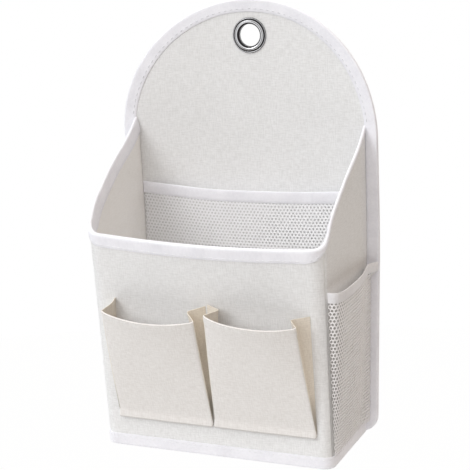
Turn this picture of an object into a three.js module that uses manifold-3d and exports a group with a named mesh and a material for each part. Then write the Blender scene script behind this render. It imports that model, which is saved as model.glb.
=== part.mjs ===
// Wall hanging organizer: a stiffened linen bag on an arched back panel, hung by one eyelet.
// Millimetres, +Z up, +X to the right as seen from the room, +Y into the wall.
// The origin is the centre of the eyelet's bore, on the plane where the back meets the wall.
import * as THREE from 'three';
import { mergeVertices } from 'three/addons/utils/BufferGeometryUtils.js';
import Module from 'manifold-3d';

const wasm = await Module();
wasm.setup();

// Driving dimensions of the back panel.
const panelWidth = 240;
const panelHeight = 391;
const panelCornerRadius = 16;
const eyeletDrop = 32;
const eyeletHeight = panelHeight - eyeletDrop;

// Driving dimensions of the bag on the front of it.
const seamAllowance = 14;
const bagWidth = panelWidth - 2 * seamAllowance;
const bagDepth = 102.6;
const bagLean = 0.1395;
const bagCornerRadius = 9;
const frontHeight = 200;
const sideHeight = 281;
const rimShoulderHeight = 220;
const rimShoulderRun = 11;
const rimSlopeSwell = 6;
const stepRise = 3;

// Cloth, board and tape thicknesses, and the gap kept between curved layers.
const clothThickness = 0.6;
const liningThickness = 0.5;
const backBoardThickness = 1.6;
const boardThickness = 1.4;
const baseBoardThickness = 1.5;
const tapeThickness = 0.8;
const tapeWidth = 11.3;
const layerGap = 0.3;

// Eyelet: bore, barrel wall, flange and the washer behind. The flange's curve is given as
// shares of its width, from the bore out, and of its height.
const boreRadius = 9.8;
const barrelWall = 0.6;
const flangeRadius = 16.1;
const flangeHeight = 2.4;
const flangeCurve = [[1, 0], [0.95, 0.45], [0.69, 0.93], [0.4, 1], [0.13, 0.8], [0, 0.4]];
const washerRadius = 14.6;
const washerThickness = 0.45;
const lipRadius = 12.2;

// Front pockets: sewn width and length, how far they stand open, and the pleat's fold.
const pocketWidth = 90;
const pocketLength = 113.5;
const pocketBottom = 31;
const pocketGap = 2.4;
const pocketCloth = 0.8;
const pocketAngle = THREE.MathUtils.degToRad(10.1);
const pleatFold = 17;
const pleatCloth = 0.6;
const pleatFoot = 4;
const pleatTrim = 6;

// Mesh pockets: hems and nets.
const netThickness = 0.8;
const hemWidth = 8.8;
const hemThickness = 1.6;
const innerNetTop = 221;
const innerNetBottom = 96;
const innerNetRise = 12;
const innerNetColumns = 16;
const innerNetRows = 6;
const sideNetTop = 163;
const sideNetStandOff = 7.2;
const sideNetColumns = 6;
const sideNetRows = 11;
const sideNetRearGap = 14;
const netBar = 2.6;
const gussetLap = 1;

// Arc steps: quarter turns of small corners, the half circle of the arch, turned rings, and
// the two curves of the rim.
const cornerSteps = 5;
const archSteps = 40;
const ringSteps = 48;
const rimSlopeSteps = 10;
const rimTurnSteps = 6;

// Depths of the layers of the back, counted forward from the wall.
const backClothFace = tapeThickness;
const backBoardFace = backClothFace + clothThickness;
const backLiningFace = backBoardFace + backBoardThickness;
const backFront = backLiningFace + liningThickness;
const flangeFront = backFront + clothThickness;

// Insets of the layers of the bag's walls, counted inward from the outer cloth's face.
const boardInset = clothThickness + layerGap;
const liningInset = boardInset + boardThickness + layerGap;
const wallInside = liningInset + liningThickness;
const baseSeamInside = clothThickness * 2 + layerGap;

// Heights of the layers of the base.
const baseClothBottom = tapeWidth + layerGap;
const baseBoardBottom = baseClothBottom + clothThickness;
const baseLiningBottom = baseBoardBottom + baseBoardThickness;
const baseTop = baseLiningBottom + liningThickness;

const halfBag = bagWidth / 2;
const cornerStart = bagDepth - bagCornerRadius;
const edgeInset = tapeThickness + layerGap;

// How far a cut starts outside a face, and a length beyond the whole object.
const clear = 1;
const farAway = 600;

const colours = {
  linen: 0xdedcd6,
  lining: 0xd9d6d0,
  pocket: 0xe2ddd8,
  board: 0xb9a888,
  tape: 0xeeedf3,
  net: 0xe6e4e6,
  steel: 0xc9c9cc,
};

// Closed geometry to a boolean solid, and back.
function toSolid(geometry) {
  const bare = geometry.clone();
  bare.deleteAttribute('normal');
  bare.deleteAttribute('uv');
  const merged = mergeVertices(bare, 1e-4);
  return new wasm.Manifold(new wasm.Mesh({
    numProp: 3,
    vertProperties: new Float32Array(merged.attributes.position.array),
    triVerts: new Uint32Array(merged.index.array),
  }));
}

function toGeometry(solid) {
  const mesh = solid.getMesh();
  const geometry = new THREE.BufferGeometry();
  geometry.setAttribute('position', new THREE.BufferAttribute(mesh.vertProperties, 3));
  geometry.setIndex(new THREE.BufferAttribute(mesh.triVerts, 1));
  return geometry;
}

function subtract(body, ...tools) {
  return toGeometry(tools.map(toSolid).reduce((rest, tool) => rest.subtract(tool), toSolid(body)));
}

function join(...bodies) {
  return toGeometry(bodies.map(toSolid).reduce((sum, body) => sum.add(body)));
}

function intersect(body, tool) {
  return toGeometry(toSolid(body).intersect(toSolid(tool)));
}

function shapeOf(points) {
  return new THREE.Shape(points.map(([x, y]) => new THREE.Vector2(x, y)));
}

function arc(centreX, centreY, radius, fromAngle, toAngle, steps) {
  return Array.from({ length: steps + 1 }, (_, step) => {
    const angle = fromAngle + ((toAngle - fromAngle) * step) / steps;
    return [centreX + radius * Math.cos(angle), centreY + radius * Math.sin(angle)];
  });
}

// An outline in plan, raised from one height to another.
function raise(points, bottom, top) {
  const size = { depth: top - bottom, bevelEnabled: false };
  return new THREE.ExtrudeGeometry(shapeOf(points), size).translate(0, 0, bottom);
}

// An outline in the wall's plane, from one depth in front of the wall to a greater one.
function layer(shape, fromDepth, toDepth) {
  const size = { depth: toDepth - fromDepth, bevelEnabled: false };
  return new THREE.ExtrudeGeometry(shape, size).rotateX(Math.PI / 2).translate(0, -fromDepth, 0);
}

// An outline in the side plane (depth toward the room, height), spread across the width.
function across(points, fromX, toX) {
  const geometry = new THREE.ExtrudeGeometry(
    shapeOf(points.map(([depth, height]) => [-depth, height])),
    { depth: toX - fromX, bevelEnabled: false },
  );
  const turn = new THREE.Matrix4().makeBasis(
    new THREE.Vector3(0, 1, 0),
    new THREE.Vector3(0, 0, 1),
    new THREE.Vector3(1, 0, 0),
  );
  return geometry.applyMatrix4(turn).translate(fromX, 0, 0);
}

function box(fromX, toX, fromDepth, toDepth, bottom, top) {
  const geometry = new THREE.BoxGeometry(toX - fromX, toDepth - fromDepth, top - bottom);
  return geometry.translate((fromX + toX) / 2, -(fromDepth + toDepth) / 2, (bottom + top) / 2);
}

// The bag widens toward its mouth: the front leans out and the sides follow in proportion.
function leanDepth(depth, height) {
  const share = THREE.MathUtils.clamp((depth - flangeFront) / (cornerStart - flangeFront), 0, 1);
  return depth + share * bagLean * height;
}

function lean(geometry) {
  const position = geometry.attributes.position;
  for (let index = 0; index < position.count; index += 1) {
    position.setY(index, -leanDepth(-position.getY(index), position.getZ(index)));
  }
  return geometry;
}

// The arched outline of the back panel, drawn inside its edge by an inset.
function panelShape(inset) {
  const half = panelWidth / 2 - inset;
  const corner = panelCornerRadius - inset;
  const spring = panelHeight - panelWidth / 2;
  return shapeOf([
    ...arc(-half + corner, inset + corner, corner, Math.PI, 1.5 * Math.PI, cornerSteps),
    ...arc(half - corner, inset + corner, corner, 1.5 * Math.PI, 2 * Math.PI, cornerSteps),
    ...arc(0, spring, half, 0, Math.PI, archSteps),
  ]);
}

function circlePath(radius, height) {
  const path = new THREE.Path();
  path.setFromPoints(arc(0, height, radius, 0, -2 * Math.PI, ringSteps).slice(0, -1)
    .map(([x, y]) => new THREE.Vector2(x, y)));
  return path;
}

// One layer of the back, with the hole that the eyelet's barrel passes through.
function backLayer(fromDepth, toDepth) {
  const shape = panelShape(edgeInset);
  shape.holes.push(circlePath(boreRadius + barrelWall + layerGap, eyeletHeight));
  return layer(shape, fromDepth, toDepth);
}

// The binding tape folded round the back panel's edge. Beside the bag and below it, its front
// leg lies on the seam allowance of the sides and the base.
function backBinding() {
  const ring = (outerInset, innerInset, fromDepth, toDepth) => {
    const shape = panelShape(outerInset);
    shape.holes.push(new THREE.Path(panelShape(innerInset).getPoints()));
    return layer(shape, fromDepth, toDepth);
  };
  const stepBottom = sideHeight + stepRise;
  const stepTop = stepBottom + tapeThickness * 2;
  const below = box(-farAway, farAway, -clear, farAway, -farAway, stepTop);
  const above = box(-farAway, farAway, -clear, farAway, stepBottom, farAway);
  const edge = ring(0, tapeThickness, 0, backFront + tapeThickness);
  const lowerEdge = intersect(ring(0, tapeThickness, 0, flangeFront + tapeThickness), below);
  const rearLeg = ring(0, tapeWidth, 0, tapeThickness);
  const upperLeg = intersect(ring(0, tapeWidth, backFront, backFront + tapeThickness), above);
  const lowerLeg = intersect(ring(0, tapeWidth, flangeFront, flangeFront + tapeThickness), below);
  const lowerFront = flangeFront + tapeThickness;
  const stepZone = box(-farAway, farAway, backFront, lowerFront, stepBottom, stepTop);
  const step = intersect(ring(0, tapeWidth, backFront, lowerFront), stepZone);
  const seamSlots = [-1, 1].map((side) => {
    const outer = side * (halfBag + edgeInset + layerGap);
    const inner = side * (halfBag - baseSeamInside - edgeInset - layerGap);
    const [fromX, toX] = [outer, inner].sort((a, b) => a - b);
    return box(fromX, toX, flangeFront, farAway, -clear, tapeWidth + clear);
  });
  return subtract(join(edge, lowerEdge, rearLeg, upperLeg, lowerLeg, step), ...seamSlots);
}

// Plan points of one face of the bag's wall at an inset, from the left end round to the right.
function wallLine(inset, endDepth) {
  const half = halfBag - inset;
  const radius = bagCornerRadius - inset;
  const turn = (points) => points.map(([x, y]) => [x, -y]);
  const corners = [
    ...turn(arc(-halfBag + bagCornerRadius, cornerStart, radius, Math.PI, Math.PI / 2, cornerSteps)),
    ...turn(arc(halfBag - bagCornerRadius, cornerStart, radius, Math.PI / 2, 0, cornerSteps)),
  ];
  return endDepth < cornerStart ? [[-half, -endDepth], ...corners, [half, -endDepth]] : corners;
}

// A band of wall that runs all round the bag, between two insets.
function wallBand(outerInset, innerInset, endDepth, bottom, top) {
  const outline = [...wallLine(outerInset, endDepth), ...wallLine(innerInset, endDepth).reverse()];
  return lean(raise(outline, bottom, top));
}

// Space above the rim's line, lowered by a drop. The line falls from the back panel in a
// shallow curve, turns over the front corners and runs level along the front.
function aboveRim(drop) {
  const shoulderDepth = leanDepth(cornerStart, rimShoulderHeight) - rimShoulderRun / 2;
  const frontDepth = leanDepth(bagDepth, frontHeight);
  const slopeMiddle = (sideHeight + rimShoulderHeight) / 2 + rimSlopeSwell;
  const turnDepth = (shoulderDepth + frontDepth) / 2;
  const turnHeight = rimShoulderHeight - (rimShoulderHeight - frontHeight) / 3;
  const slope = new THREE.QuadraticBezierCurve(
    new THREE.Vector2(0, sideHeight - drop),
    new THREE.Vector2(shoulderDepth / 2, slopeMiddle - drop),
    new THREE.Vector2(shoulderDepth, rimShoulderHeight - drop),
  ).getPoints(rimSlopeSteps);
  const turn = new THREE.QuadraticBezierCurve(
    new THREE.Vector2(shoulderDepth, rimShoulderHeight - drop),
    new THREE.Vector2(turnDepth, turnHeight - drop),
    new THREE.Vector2(frontDepth - clear, frontHeight - drop),
  ).getPoints(rimTurnSteps).slice(1);
  const outline = [
    [-farAway, sideHeight - drop],
    ...[...slope, ...turn].map((point) => [point.x, point.y]),
    [farAway, frontHeight - drop],
    [farAway, farAway],
    [-farAway, farAway],
  ];
  return across(outline, -farAway, farAway);
}

const rimCut = aboveRim(edgeInset);

// The front piece of one layer of the wall, from corner to corner.
function frontLayer(inset, thickness, bottom) {
  return subtract(wallBand(inset, inset + thickness, cornerStart, bottom, farAway), rimCut);
}

// A side piece of one layer of the wall.
function sideLayer(side, inset, thickness, bottom, rearDepth) {
  const outer = side * (halfBag - inset);
  const inner = side * (halfBag - inset - thickness);
  const front = cornerStart - layerGap;
  const outline = [[outer, -rearDepth], [outer, -front], [inner, -front], [inner, -rearDepth]];
  return subtract(lean(raise(outline, bottom, farAway)), rimCut);
}

// The outer cloth of a side, with the seam allowance that lies on the back panel.
function sideCloth(side) {
  const outer = side * halfBag;
  const inner = side * (halfBag - clothThickness);
  const tip = side * (panelWidth / 2 - edgeInset);
  const outline = [
    [inner, -backFront],
    [tip, -backFront],
    [tip, -flangeFront],
    [outer, -flangeFront],
    [outer, layerGap - cornerStart],
    [inner, layerGap - cornerStart],
  ];
  const wall = subtract(lean(raise(outline, edgeInset, farAway)), rimCut);
  return intersect(wall, layer(panelShape(edgeInset), 0, farAway));
}

// The tape folded over the rim of the bag, and the one folded up under the bottom edge.
function rimBinding() {
  const end = flangeFront + tapeThickness + layerGap;
  const solid = wallBand(-edgeInset, wallInside + edgeInset, end, frontHeight / 2, farAway);
  const core = wallBand(-layerGap, wallInside + layerGap, end - clear, frontHeight / 2 - clear, farAway);
  const coreBelow = subtract(core, aboveRim(tapeThickness));
  const strip = intersect(subtract(solid, aboveRim(0)), aboveRim(tapeWidth));
  return subtract(strip, coreBelow);
}

function baseBinding() {
  const end = flangeFront + tapeThickness + layerGap;
  const solid = wallBand(-edgeInset, baseSeamInside + edgeInset, end, 0, tapeWidth);
  const inner = baseSeamInside + layerGap;
  const core = wallBand(-layerGap, inner, end - clear, tapeThickness, tapeWidth + clear);
  return subtract(solid, core);
}

// A level plate inside the bag at an inset from its outer face.
function floorPlate(inset, rearDepth, bottom, top) {
  return lean(raise(wallLine(inset, rearDepth), bottom, top));
}

// The base cloth: a floor with its seam allowance turned down on all four sides.
function baseCloth() {
  const inset = clothThickness + layerGap;
  const rear = flangeFront;
  const plate = floorPlate(inset, backFront, baseClothBottom, baseBoardBottom);
  const skirt = wallBand(inset, inset + clothThickness, rear, edgeInset, baseBoardBottom);
  const halfSkirt = halfBag - inset;
  const rearSkirt = box(-halfSkirt, halfSkirt, backFront, flangeFront, edgeInset, baseBoardBottom);
  return join(plate, skirt, rearSkirt);
}

// A ring turned about the eyelet's axis. Its profile is radius against depth from the wall.
function turned(profile) {
  const points = [...profile, profile[0]].map(([radius, depth]) => new THREE.Vector2(radius, -depth));
  return new THREE.LatheGeometry(points.reverse(), ringSteps).translate(0, 0, eyeletHeight);
}

function eyelet() {
  const barrelRadius = boreRadius + barrelWall;
  const lipThickness = tapeThickness - washerThickness;
  const flange = flangeCurve.map(([outward, forward]) => [
    boreRadius + (flangeRadius - boreRadius) * outward,
    backFront + flangeHeight * forward,
  ]);
  return turned([
    [boreRadius, 0],
    [lipRadius, 0],
    [lipRadius, lipThickness],
    [barrelRadius, lipThickness],
    [barrelRadius, backFront],
    ...flange,
  ]);
}

function washer() {
  const inner = boreRadius + barrelWall + layerGap;
  const front = tapeThickness;
  const rear = front - washerThickness;
  return turned([[inner, rear], [washerRadius, rear], [washerRadius, front], [inner, front]]);
}

// The hinge line along a pocket's bottom seam, and the front panel's own slant there.
const hingeDepth = bagDepth + bagLean * pocketBottom + layerGap + pocketCloth;
const panelAngle = Math.atan(bagLean);

// The face of a front pocket, drawn upright on its hinge line and then leaned out.
function pocketFace(side) {
  const near = pocketGap / 2;
  const face = new THREE.BoxGeometry(pocketWidth, pocketCloth, pocketLength);
  face.translate(side * (near + pocketWidth / 2), pocketCloth / 2, pocketLength / 2);
  face.rotateX(panelAngle + pocketAngle);
  return face.translate(0, -hingeDepth, pocketBottom);
}

// A pocket's side pleat: from the seam on the panel, in to its fold, and out to the face.
// It narrows to nothing at the pocket's bottom.
function pocketPleat(side, nearSide) {
  const seamX = nearSide ? pocketGap / 2 : pocketGap / 2 + pocketWidth;
  const inward = nearSide ? 1 : -1;
  const slack = pleatCloth + layerGap;
  const section = (share) => {
    const height = pocketBottom + pleatFoot + (pocketLength - pleatTrim) * share;
    const panel = bagDepth + bagLean * height + layerGap;
    const reach = (height - pocketBottom) * Math.tan(panelAngle + pocketAngle);
    const face = hingeDepth - pocketCloth / Math.cos(panelAngle + pocketAngle) + reach - layerGap;
    const middle = (panel + face) / 2;
    const fold = pleatCloth + pleatFold * share;
    const points = [
      [0, panel],
      [slack, panel],
      [fold + slack, middle],
      [slack, face],
      [0, face],
      [fold, middle],
    ];
    const placed = points.map(([x, depth]) => {
      return new THREE.Vector3(side * (seamX + inward * x), -depth, height);
    });
    return side * inward > 0 ? placed.reverse() : placed;
  };
  return loft(section(0), section(1));
}

// A closed body between two like sections, one above the other, given counterclockwise.
function loft(lower, upper) {
  const count = lower.length;
  const outline = lower.map((point) => new THREE.Vector2(point.x, point.y));
  const triangles = [];
  THREE.ShapeUtils.triangulateShape(outline, []).forEach((corners) => {
    const leftward = THREE.ShapeUtils.isClockWise(corners.map((index) => outline[index]));
    const [a, b, c] = leftward ? [...corners].reverse() : corners;
    triangles.push(a, c, b, a + count, b + count, c + count);
  });
  for (let index = 0; index < count; index += 1) {
    const next = (index + 1) % count;
    triangles.push(index, next, next + count, index, next + count, index + count);
  }
  const geometry = new THREE.BufferGeometry().setFromPoints([...lower, ...upper]);
  geometry.setIndex(triangles);
  return geometry;
}

// A flat net in its own plane: upright and level bars round a grid of openings. The grid's lines
// are the bars' edges, so every second cell of every second row is an opening.
function netBars(width, height, columns, rows) {
  const lines = (length, count) => {
    const pitch = (length - netBar) / count;
    return Array.from({ length: 2 * (count + 1) }, (_, index) => {
      return Math.floor(index / 2) * pitch + (index % 2) * netBar;
    });
  };
  const xs = lines(width, columns);
  const ys = lines(height, rows);
  const corner = (i, j, front) => (front * ys.length + j) * xs.length + i;
  const isBar = (i, j) => {
    const inside = i >= 0 && j >= 0 && i < xs.length - 1 && j < ys.length - 1;
    return inside && (i % 2 === 0 || j % 2 === 0);
  };
  const triangles = [];
  const quad = (...corners) => {
    const [a, b, c, d] = corners.map((place) => corner(...place));
    triangles.push(a, b, c, a, c, d);
  };
  const rimWall = (i, j, nextI, nextJ) => quad([i, j, 0], [nextI, nextJ, 0], [nextI, nextJ, 1], [i, j, 1]);
  for (let i = 0; i < xs.length - 1; i += 1) {
    for (let j = 0; j < ys.length - 1; j += 1) {
      if (!isBar(i, j)) continue;
      quad([i, j, 1], [i + 1, j, 1], [i + 1, j + 1, 1], [i, j + 1, 1]);
      quad([i, j, 0], [i, j + 1, 0], [i + 1, j + 1, 0], [i + 1, j, 0]);
      if (!isBar(i, j - 1)) rimWall(i, j, i + 1, j);
      if (!isBar(i, j + 1)) rimWall(i + 1, j + 1, i, j + 1);
      if (!isBar(i - 1, j)) rimWall(i, j + 1, i, j);
      if (!isBar(i + 1, j)) rimWall(i + 1, j, i + 1, j + 1);
    }
  }
  const points = [0, netThickness].flatMap((z) => {
    return ys.flatMap((y) => xs.map((x) => new THREE.Vector3(x, y, z)));
  });
  const geometry = new THREE.BufferGeometry().setFromPoints(points);
  geometry.setIndex(triangles);
  return geometry;
}

// The net pocket inside the bag leans away from the back panel, from a seam at its bottom.
const innerNetWidth = 2 * (halfBag - wallInside - layerGap);
const innerNetHeight = innerNetTop - hemWidth - layerGap - innerNetBottom;
const innerNetSlant = Math.atan(innerNetRise / innerNetHeight);
const innerNetRoot = backFront + layerGap;

// Stands a sheet drawn in its own plane on the pocket's bottom seam, and leans it forward.
function onInnerSlant(sheet) {
  const leaned = sheet.rotateX(Math.PI / 2 + innerNetSlant);
  return leaned.translate(-innerNetWidth / 2, -innerNetRoot, innerNetBottom);
}

function innerNet() {
  return onInnerSlant(netBars(innerNetWidth, innerNetHeight, innerNetColumns, innerNetRows));
}

function innerHem() {
  const bottom = innerNetHeight + layerGap;
  const sheet = new THREE.BoxGeometry(innerNetWidth, hemWidth, hemThickness);
  return onInnerSlant(sheet.translate(innerNetWidth / 2, bottom + hemWidth / 2, netThickness / 2));
}

// The net pocket outside the right wall: a slanting net from the front seam, and a rear
// gusset that returns to the back panel's edge.
const sideNetBottom = tapeWidth + layerGap;
const sideNetRoot = halfBag + layerGap;
const sideNetRear = flangeFront + tapeThickness + layerGap;
const sideNetFold = sideNetRear + sideNetRearGap;
const sideNetFront = cornerStart - layerGap;

function sideOut(depth) {
  const share = (sideNetFront - depth) / (sideNetFront - sideNetFold);
  return sideNetRoot + share * sideNetStandOff;
}

// Carries a sheet drawn from the front seam back, as run and height, onto the slanting side.
function onSideSlant(sheet) {
  const position = sheet.attributes.position;
  for (let index = 0; index < position.count; index += 1) {
    const depth = sideNetFront - position.getX(index);
    const height = sideNetBottom + position.getY(index);
    position.setXYZ(index, sideOut(depth) + position.getZ(index), -depth, height);
  }
  return lean(sheet);
}

function sideNet() {
  const height = sideNetTop - hemWidth - layerGap - sideNetBottom;
  return onSideSlant(netBars(sideNetFront - sideNetFold, height, sideNetColumns, sideNetRows));
}

function sideHem() {
  const width = sideNetFront - sideNetFold;
  const middle = sideNetTop - hemWidth / 2 - sideNetBottom;
  const sheet = new THREE.BoxGeometry(width, hemWidth, hemThickness);
  return onSideSlant(sheet.translate(width / 2, middle, hemThickness / 2));
}

function sideGusset() {
  const front = sideNetFold - layerGap;
  const foot = panelWidth / 2 - tapeWidth + gussetLap;
  const top = sideOut(sideNetFold);
  const outline = [
    [foot, -sideNetRear],
    [foot + netThickness, -sideNetRear],
    [top + netThickness, -front],
    [top, -front],
  ];
  return lean(raise(outline, sideNetBottom, sideNetTop));
}

// Every sub-part, with its colour and finish.
const organizer = new THREE.Group();
organizer.position.z = -eyeletHeight;

const clothFinish = { roughness: 0.95, metalness: 0 };
const polished = { roughness: 0.2, metalness: 1 };

function add(name, geometry, color, finish = clothFinish) {
  const material = new THREE.MeshStandardMaterial({ color, ...finish });
  const mesh = new THREE.Mesh(geometry, material);
  mesh.name = name;
  organizer.add(mesh);
}

add('back_cloth', backLayer(backClothFace, backBoardFace), colours.linen);
add('back_board', backLayer(backBoardFace, backLiningFace), colours.board);
add('back_lining', backLayer(backLiningFace, backFront), colours.linen);
add('back_binding', backBinding(), colours.tape);
add('eyelet', eyelet(), colours.steel, polished);
add('eyelet_washer', washer(), colours.steel, polished);

add('front_cloth', frontLayer(0, clothThickness, edgeInset), colours.linen);
add('front_board', frontLayer(boardInset, boardThickness, baseBoardBottom), colours.board);
add('front_lining', frontLayer(liningInset, liningThickness, baseBoardBottom), colours.lining);
for (const [name, side] of [['left', -1], ['right', 1]]) {
  const layerOf = (inset, thickness) => {
    return sideLayer(side, inset, thickness, baseBoardBottom, flangeFront);
  };
  add(`${name}_side_cloth`, sideCloth(side), colours.linen);
  add(`${name}_side_board`, layerOf(boardInset, boardThickness), colours.board);
  add(`${name}_side_lining`, layerOf(liningInset, liningThickness), colours.lining);
}
add('rim_binding', rimBinding(), colours.tape);

const floorInset = wallInside + layerGap;
add('base_cloth', baseCloth(), colours.linen);
add('base_board', floorPlate(floorInset, flangeFront, baseBoardBottom, baseLiningBottom), colours.board);
add('base_lining', floorPlate(floorInset, flangeFront, baseLiningBottom, baseTop), colours.lining);
add('base_binding', baseBinding(), colours.tape);

add('inner_net', innerNet(), colours.net);
add('inner_net_hem', innerHem(), colours.tape);
add('side_net', sideNet(), colours.net);
add('side_net_gusset', sideGusset(), colours.net);
add('side_net_hem', sideHem(), colours.tape);

for (const [name, side] of [['left', -1], ['right', 1]]) {
  add(`${name}_pocket_face`, pocketFace(side), colours.pocket);
  add(`${name}_pocket_inner_pleat`, pocketPleat(side, true), colours.pocket);
  add(`${name}_pocket_outer_pleat`, pocketPleat(side, false), colours.pocket);
}

export default organizer;
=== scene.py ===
"""Scene of a wall hanging organizer: a linen bag on an arched back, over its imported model.

Shapes are worked out in millimetres as (x, depth from the wall, height above the bag's bottom)
and turned into the frame's metres at the very end.
"""

import logging
import math
from dataclasses import dataclass
from enum import Enum
from typing import Any, Callable, Optional, Sequence, Union

import bmesh
import bpy
import numpy as np
from mathutils import Matrix, Vector

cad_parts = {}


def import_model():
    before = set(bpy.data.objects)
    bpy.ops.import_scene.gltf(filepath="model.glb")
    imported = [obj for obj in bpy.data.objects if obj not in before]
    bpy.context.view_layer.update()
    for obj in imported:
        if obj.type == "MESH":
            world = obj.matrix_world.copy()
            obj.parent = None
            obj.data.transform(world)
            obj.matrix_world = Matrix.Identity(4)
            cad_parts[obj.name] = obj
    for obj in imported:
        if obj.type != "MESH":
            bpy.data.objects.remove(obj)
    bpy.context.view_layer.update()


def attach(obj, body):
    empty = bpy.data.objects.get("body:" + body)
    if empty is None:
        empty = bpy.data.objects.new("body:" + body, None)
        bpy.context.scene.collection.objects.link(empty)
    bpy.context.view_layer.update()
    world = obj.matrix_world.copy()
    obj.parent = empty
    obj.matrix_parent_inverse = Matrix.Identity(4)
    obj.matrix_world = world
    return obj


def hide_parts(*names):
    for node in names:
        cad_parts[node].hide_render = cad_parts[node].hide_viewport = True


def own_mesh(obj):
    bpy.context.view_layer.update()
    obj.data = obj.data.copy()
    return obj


LOG = logging.getLogger("organizer")

Grid = np.ndarray
Colour = tuple[float, float, float]

MM = 0.001
EYELET_HEIGHT = 359.0
TINY = 1e-9
CLOTH_MAP = "cloth"


class Slot(Enum):
    """The record's material slots."""

    LINEN = "linen"
    POCKET = "pocket_cloth"
    LINING = "lining"
    BINDING = "binding"
    NET = "net"
    BOARD = "board"
    METAL = "eyelet_metal"


class Side(Enum):
    """The two sides of a pocket, as seen from the room."""

    LEFT = -1.0
    RIGHT = 1.0


# Shape helpers


def to_frame(points: Grid) -> Grid:
    """Turns (x, depth, height) in millimetres into the frame's metres.

    Args:
        points: Array whose last axis holds x, depth and height.

    Returns:
        The same points as x, y, z in metres.
    """
    x, depth, height = np.moveaxis(np.asarray(points, float), -1, 0)
    return np.stack([x, -depth, height - EYELET_HEIGHT], axis=-1) * MM


def ease(value: Any, low: float, high: float) -> Any:
    """Rises smoothly from 0 at low to 1 at high."""
    share = np.clip((np.asarray(value, float) - low) / (high - low), 0.0, 1.0)
    return share * share * (3.0 - 2.0 * share)


def curve(value: Any, knots: Sequence[tuple[float, float]]) -> Any:
    """Follows a smooth line through knots (monotone between them).

    Args:
        value: Where the line is read.
        knots: Pairs of place and height, in rising order of place.

    Returns:
        The line's height at each value.
    """
    places = np.array([knot[0] for knot in knots], float)
    heights = np.array([knot[1] for knot in knots], float)
    slopes = np.diff(heights) / np.diff(places)
    inner = np.where(
        slopes[:-1] * slopes[1:] > 0,
        2 * slopes[:-1] * slopes[1:] / (slopes[:-1] + slopes[1:] + 1e-12),
        0.0,
    )
    tangents = np.concatenate([[slopes[0]], inner, [slopes[-1]]])
    value = np.clip(np.asarray(value, float), places[0], places[-1])
    index = np.clip(np.searchsorted(places, value, side="right") - 1, 0, len(places) - 2)
    width = places[index + 1] - places[index]
    t = (value - places[index]) / width
    return (
        (2 * t**3 - 3 * t**2 + 1) * heights[index]
        + (t**3 - 2 * t**2 + t) * width * tangents[index]
        + (3 * t**2 - 2 * t**3) * heights[index + 1]
        + (t**3 - t**2) * width * tangents[index + 1]
    )


def ripple(u: Any, v: Any, seed: int, wavelength: float) -> Any:
    """Soft unevenness of cloth: a few slanting waves, from -1 to 1.

    Args:
        u: Place along the cloth, in millimetres.
        v: Place up the cloth, in millimetres.
        seed: Number that picks the waves.
        wavelength: Middle wavelength, in millimetres.

    Returns:
        The height of the ripple at each place.
    """
    source = np.random.default_rng(seed)
    count = 6
    shortest, longest = 0.6, 1.7
    total = np.zeros(np.broadcast(u, v).shape)
    for _ in range(count):
        angle, length, phase = source.uniform((0, shortest, 0), (math.pi, longest, 2 * math.pi))
        run = np.asarray(u) * math.cos(angle) + np.asarray(v) * math.sin(angle)
        total = total + np.sin(run * 2 * math.pi / (wavelength * length) + phase)
    return total / count


def unit(vectors: Grid) -> Grid:
    """Vectors of length 1 in the same directions."""
    return vectors / np.maximum(np.linalg.norm(vectors, axis=-1, keepdims=True), TINY)


def grid_normals(points: Grid) -> Grid:
    """Unit normals of a grid of points, across its first axis and up its second.

    Args:
        points: Grid of (x, depth, height).

    Returns:
        A direction at each point.
    """
    along = np.gradient(points, axis=0)
    upward = np.gradient(points, axis=1)
    return unit(np.cross(along, upward))


def run_lengths(path: Grid) -> Grid:
    """Running length at each point of a path."""
    return np.concatenate([[0.0], np.cumsum(np.linalg.norm(np.diff(path, axis=0), axis=1))])


def arc_lengths(points: Grid, axis: int) -> Grid:
    """Running length of a grid of points along one of its two axes.

    Args:
        points: Grid of (x, depth, height).
        axis: 0 for across, 1 for up.

    Returns:
        The length so far at each point.
    """
    steps = np.linalg.norm(np.diff(points, axis=axis), axis=-1)
    start = np.zeros_like(np.take(steps, [0], axis=axis))
    return np.concatenate([start, np.cumsum(steps, axis=axis)], axis=axis)


# Mesh helpers


def clear_selection() -> None:
    """Deselects everything, so that an operator acts on the new piece alone."""
    for item in bpy.context.selected_objects:
        item.select_set(False)
    bpy.context.view_layer.objects.active = None


def make_active(piece: bpy.types.Object) -> None:
    """Selects one piece alone and makes it the active one.

    Args:
        piece: The piece to work on.
    """
    clear_selection()
    piece.select_set(True)
    bpy.context.view_layer.objects.active = piece


def smooth(piece: bpy.types.Object, degrees: float) -> None:
    """Shades a piece smooth, with sharp edges above an angle.

    Args:
        piece: The piece.
        degrees: Angle above which an edge stays sharp.
    """
    make_active(piece)
    bpy.ops.object.shade_smooth_by_angle(angle=math.radians(degrees))
    clear_selection()


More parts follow.
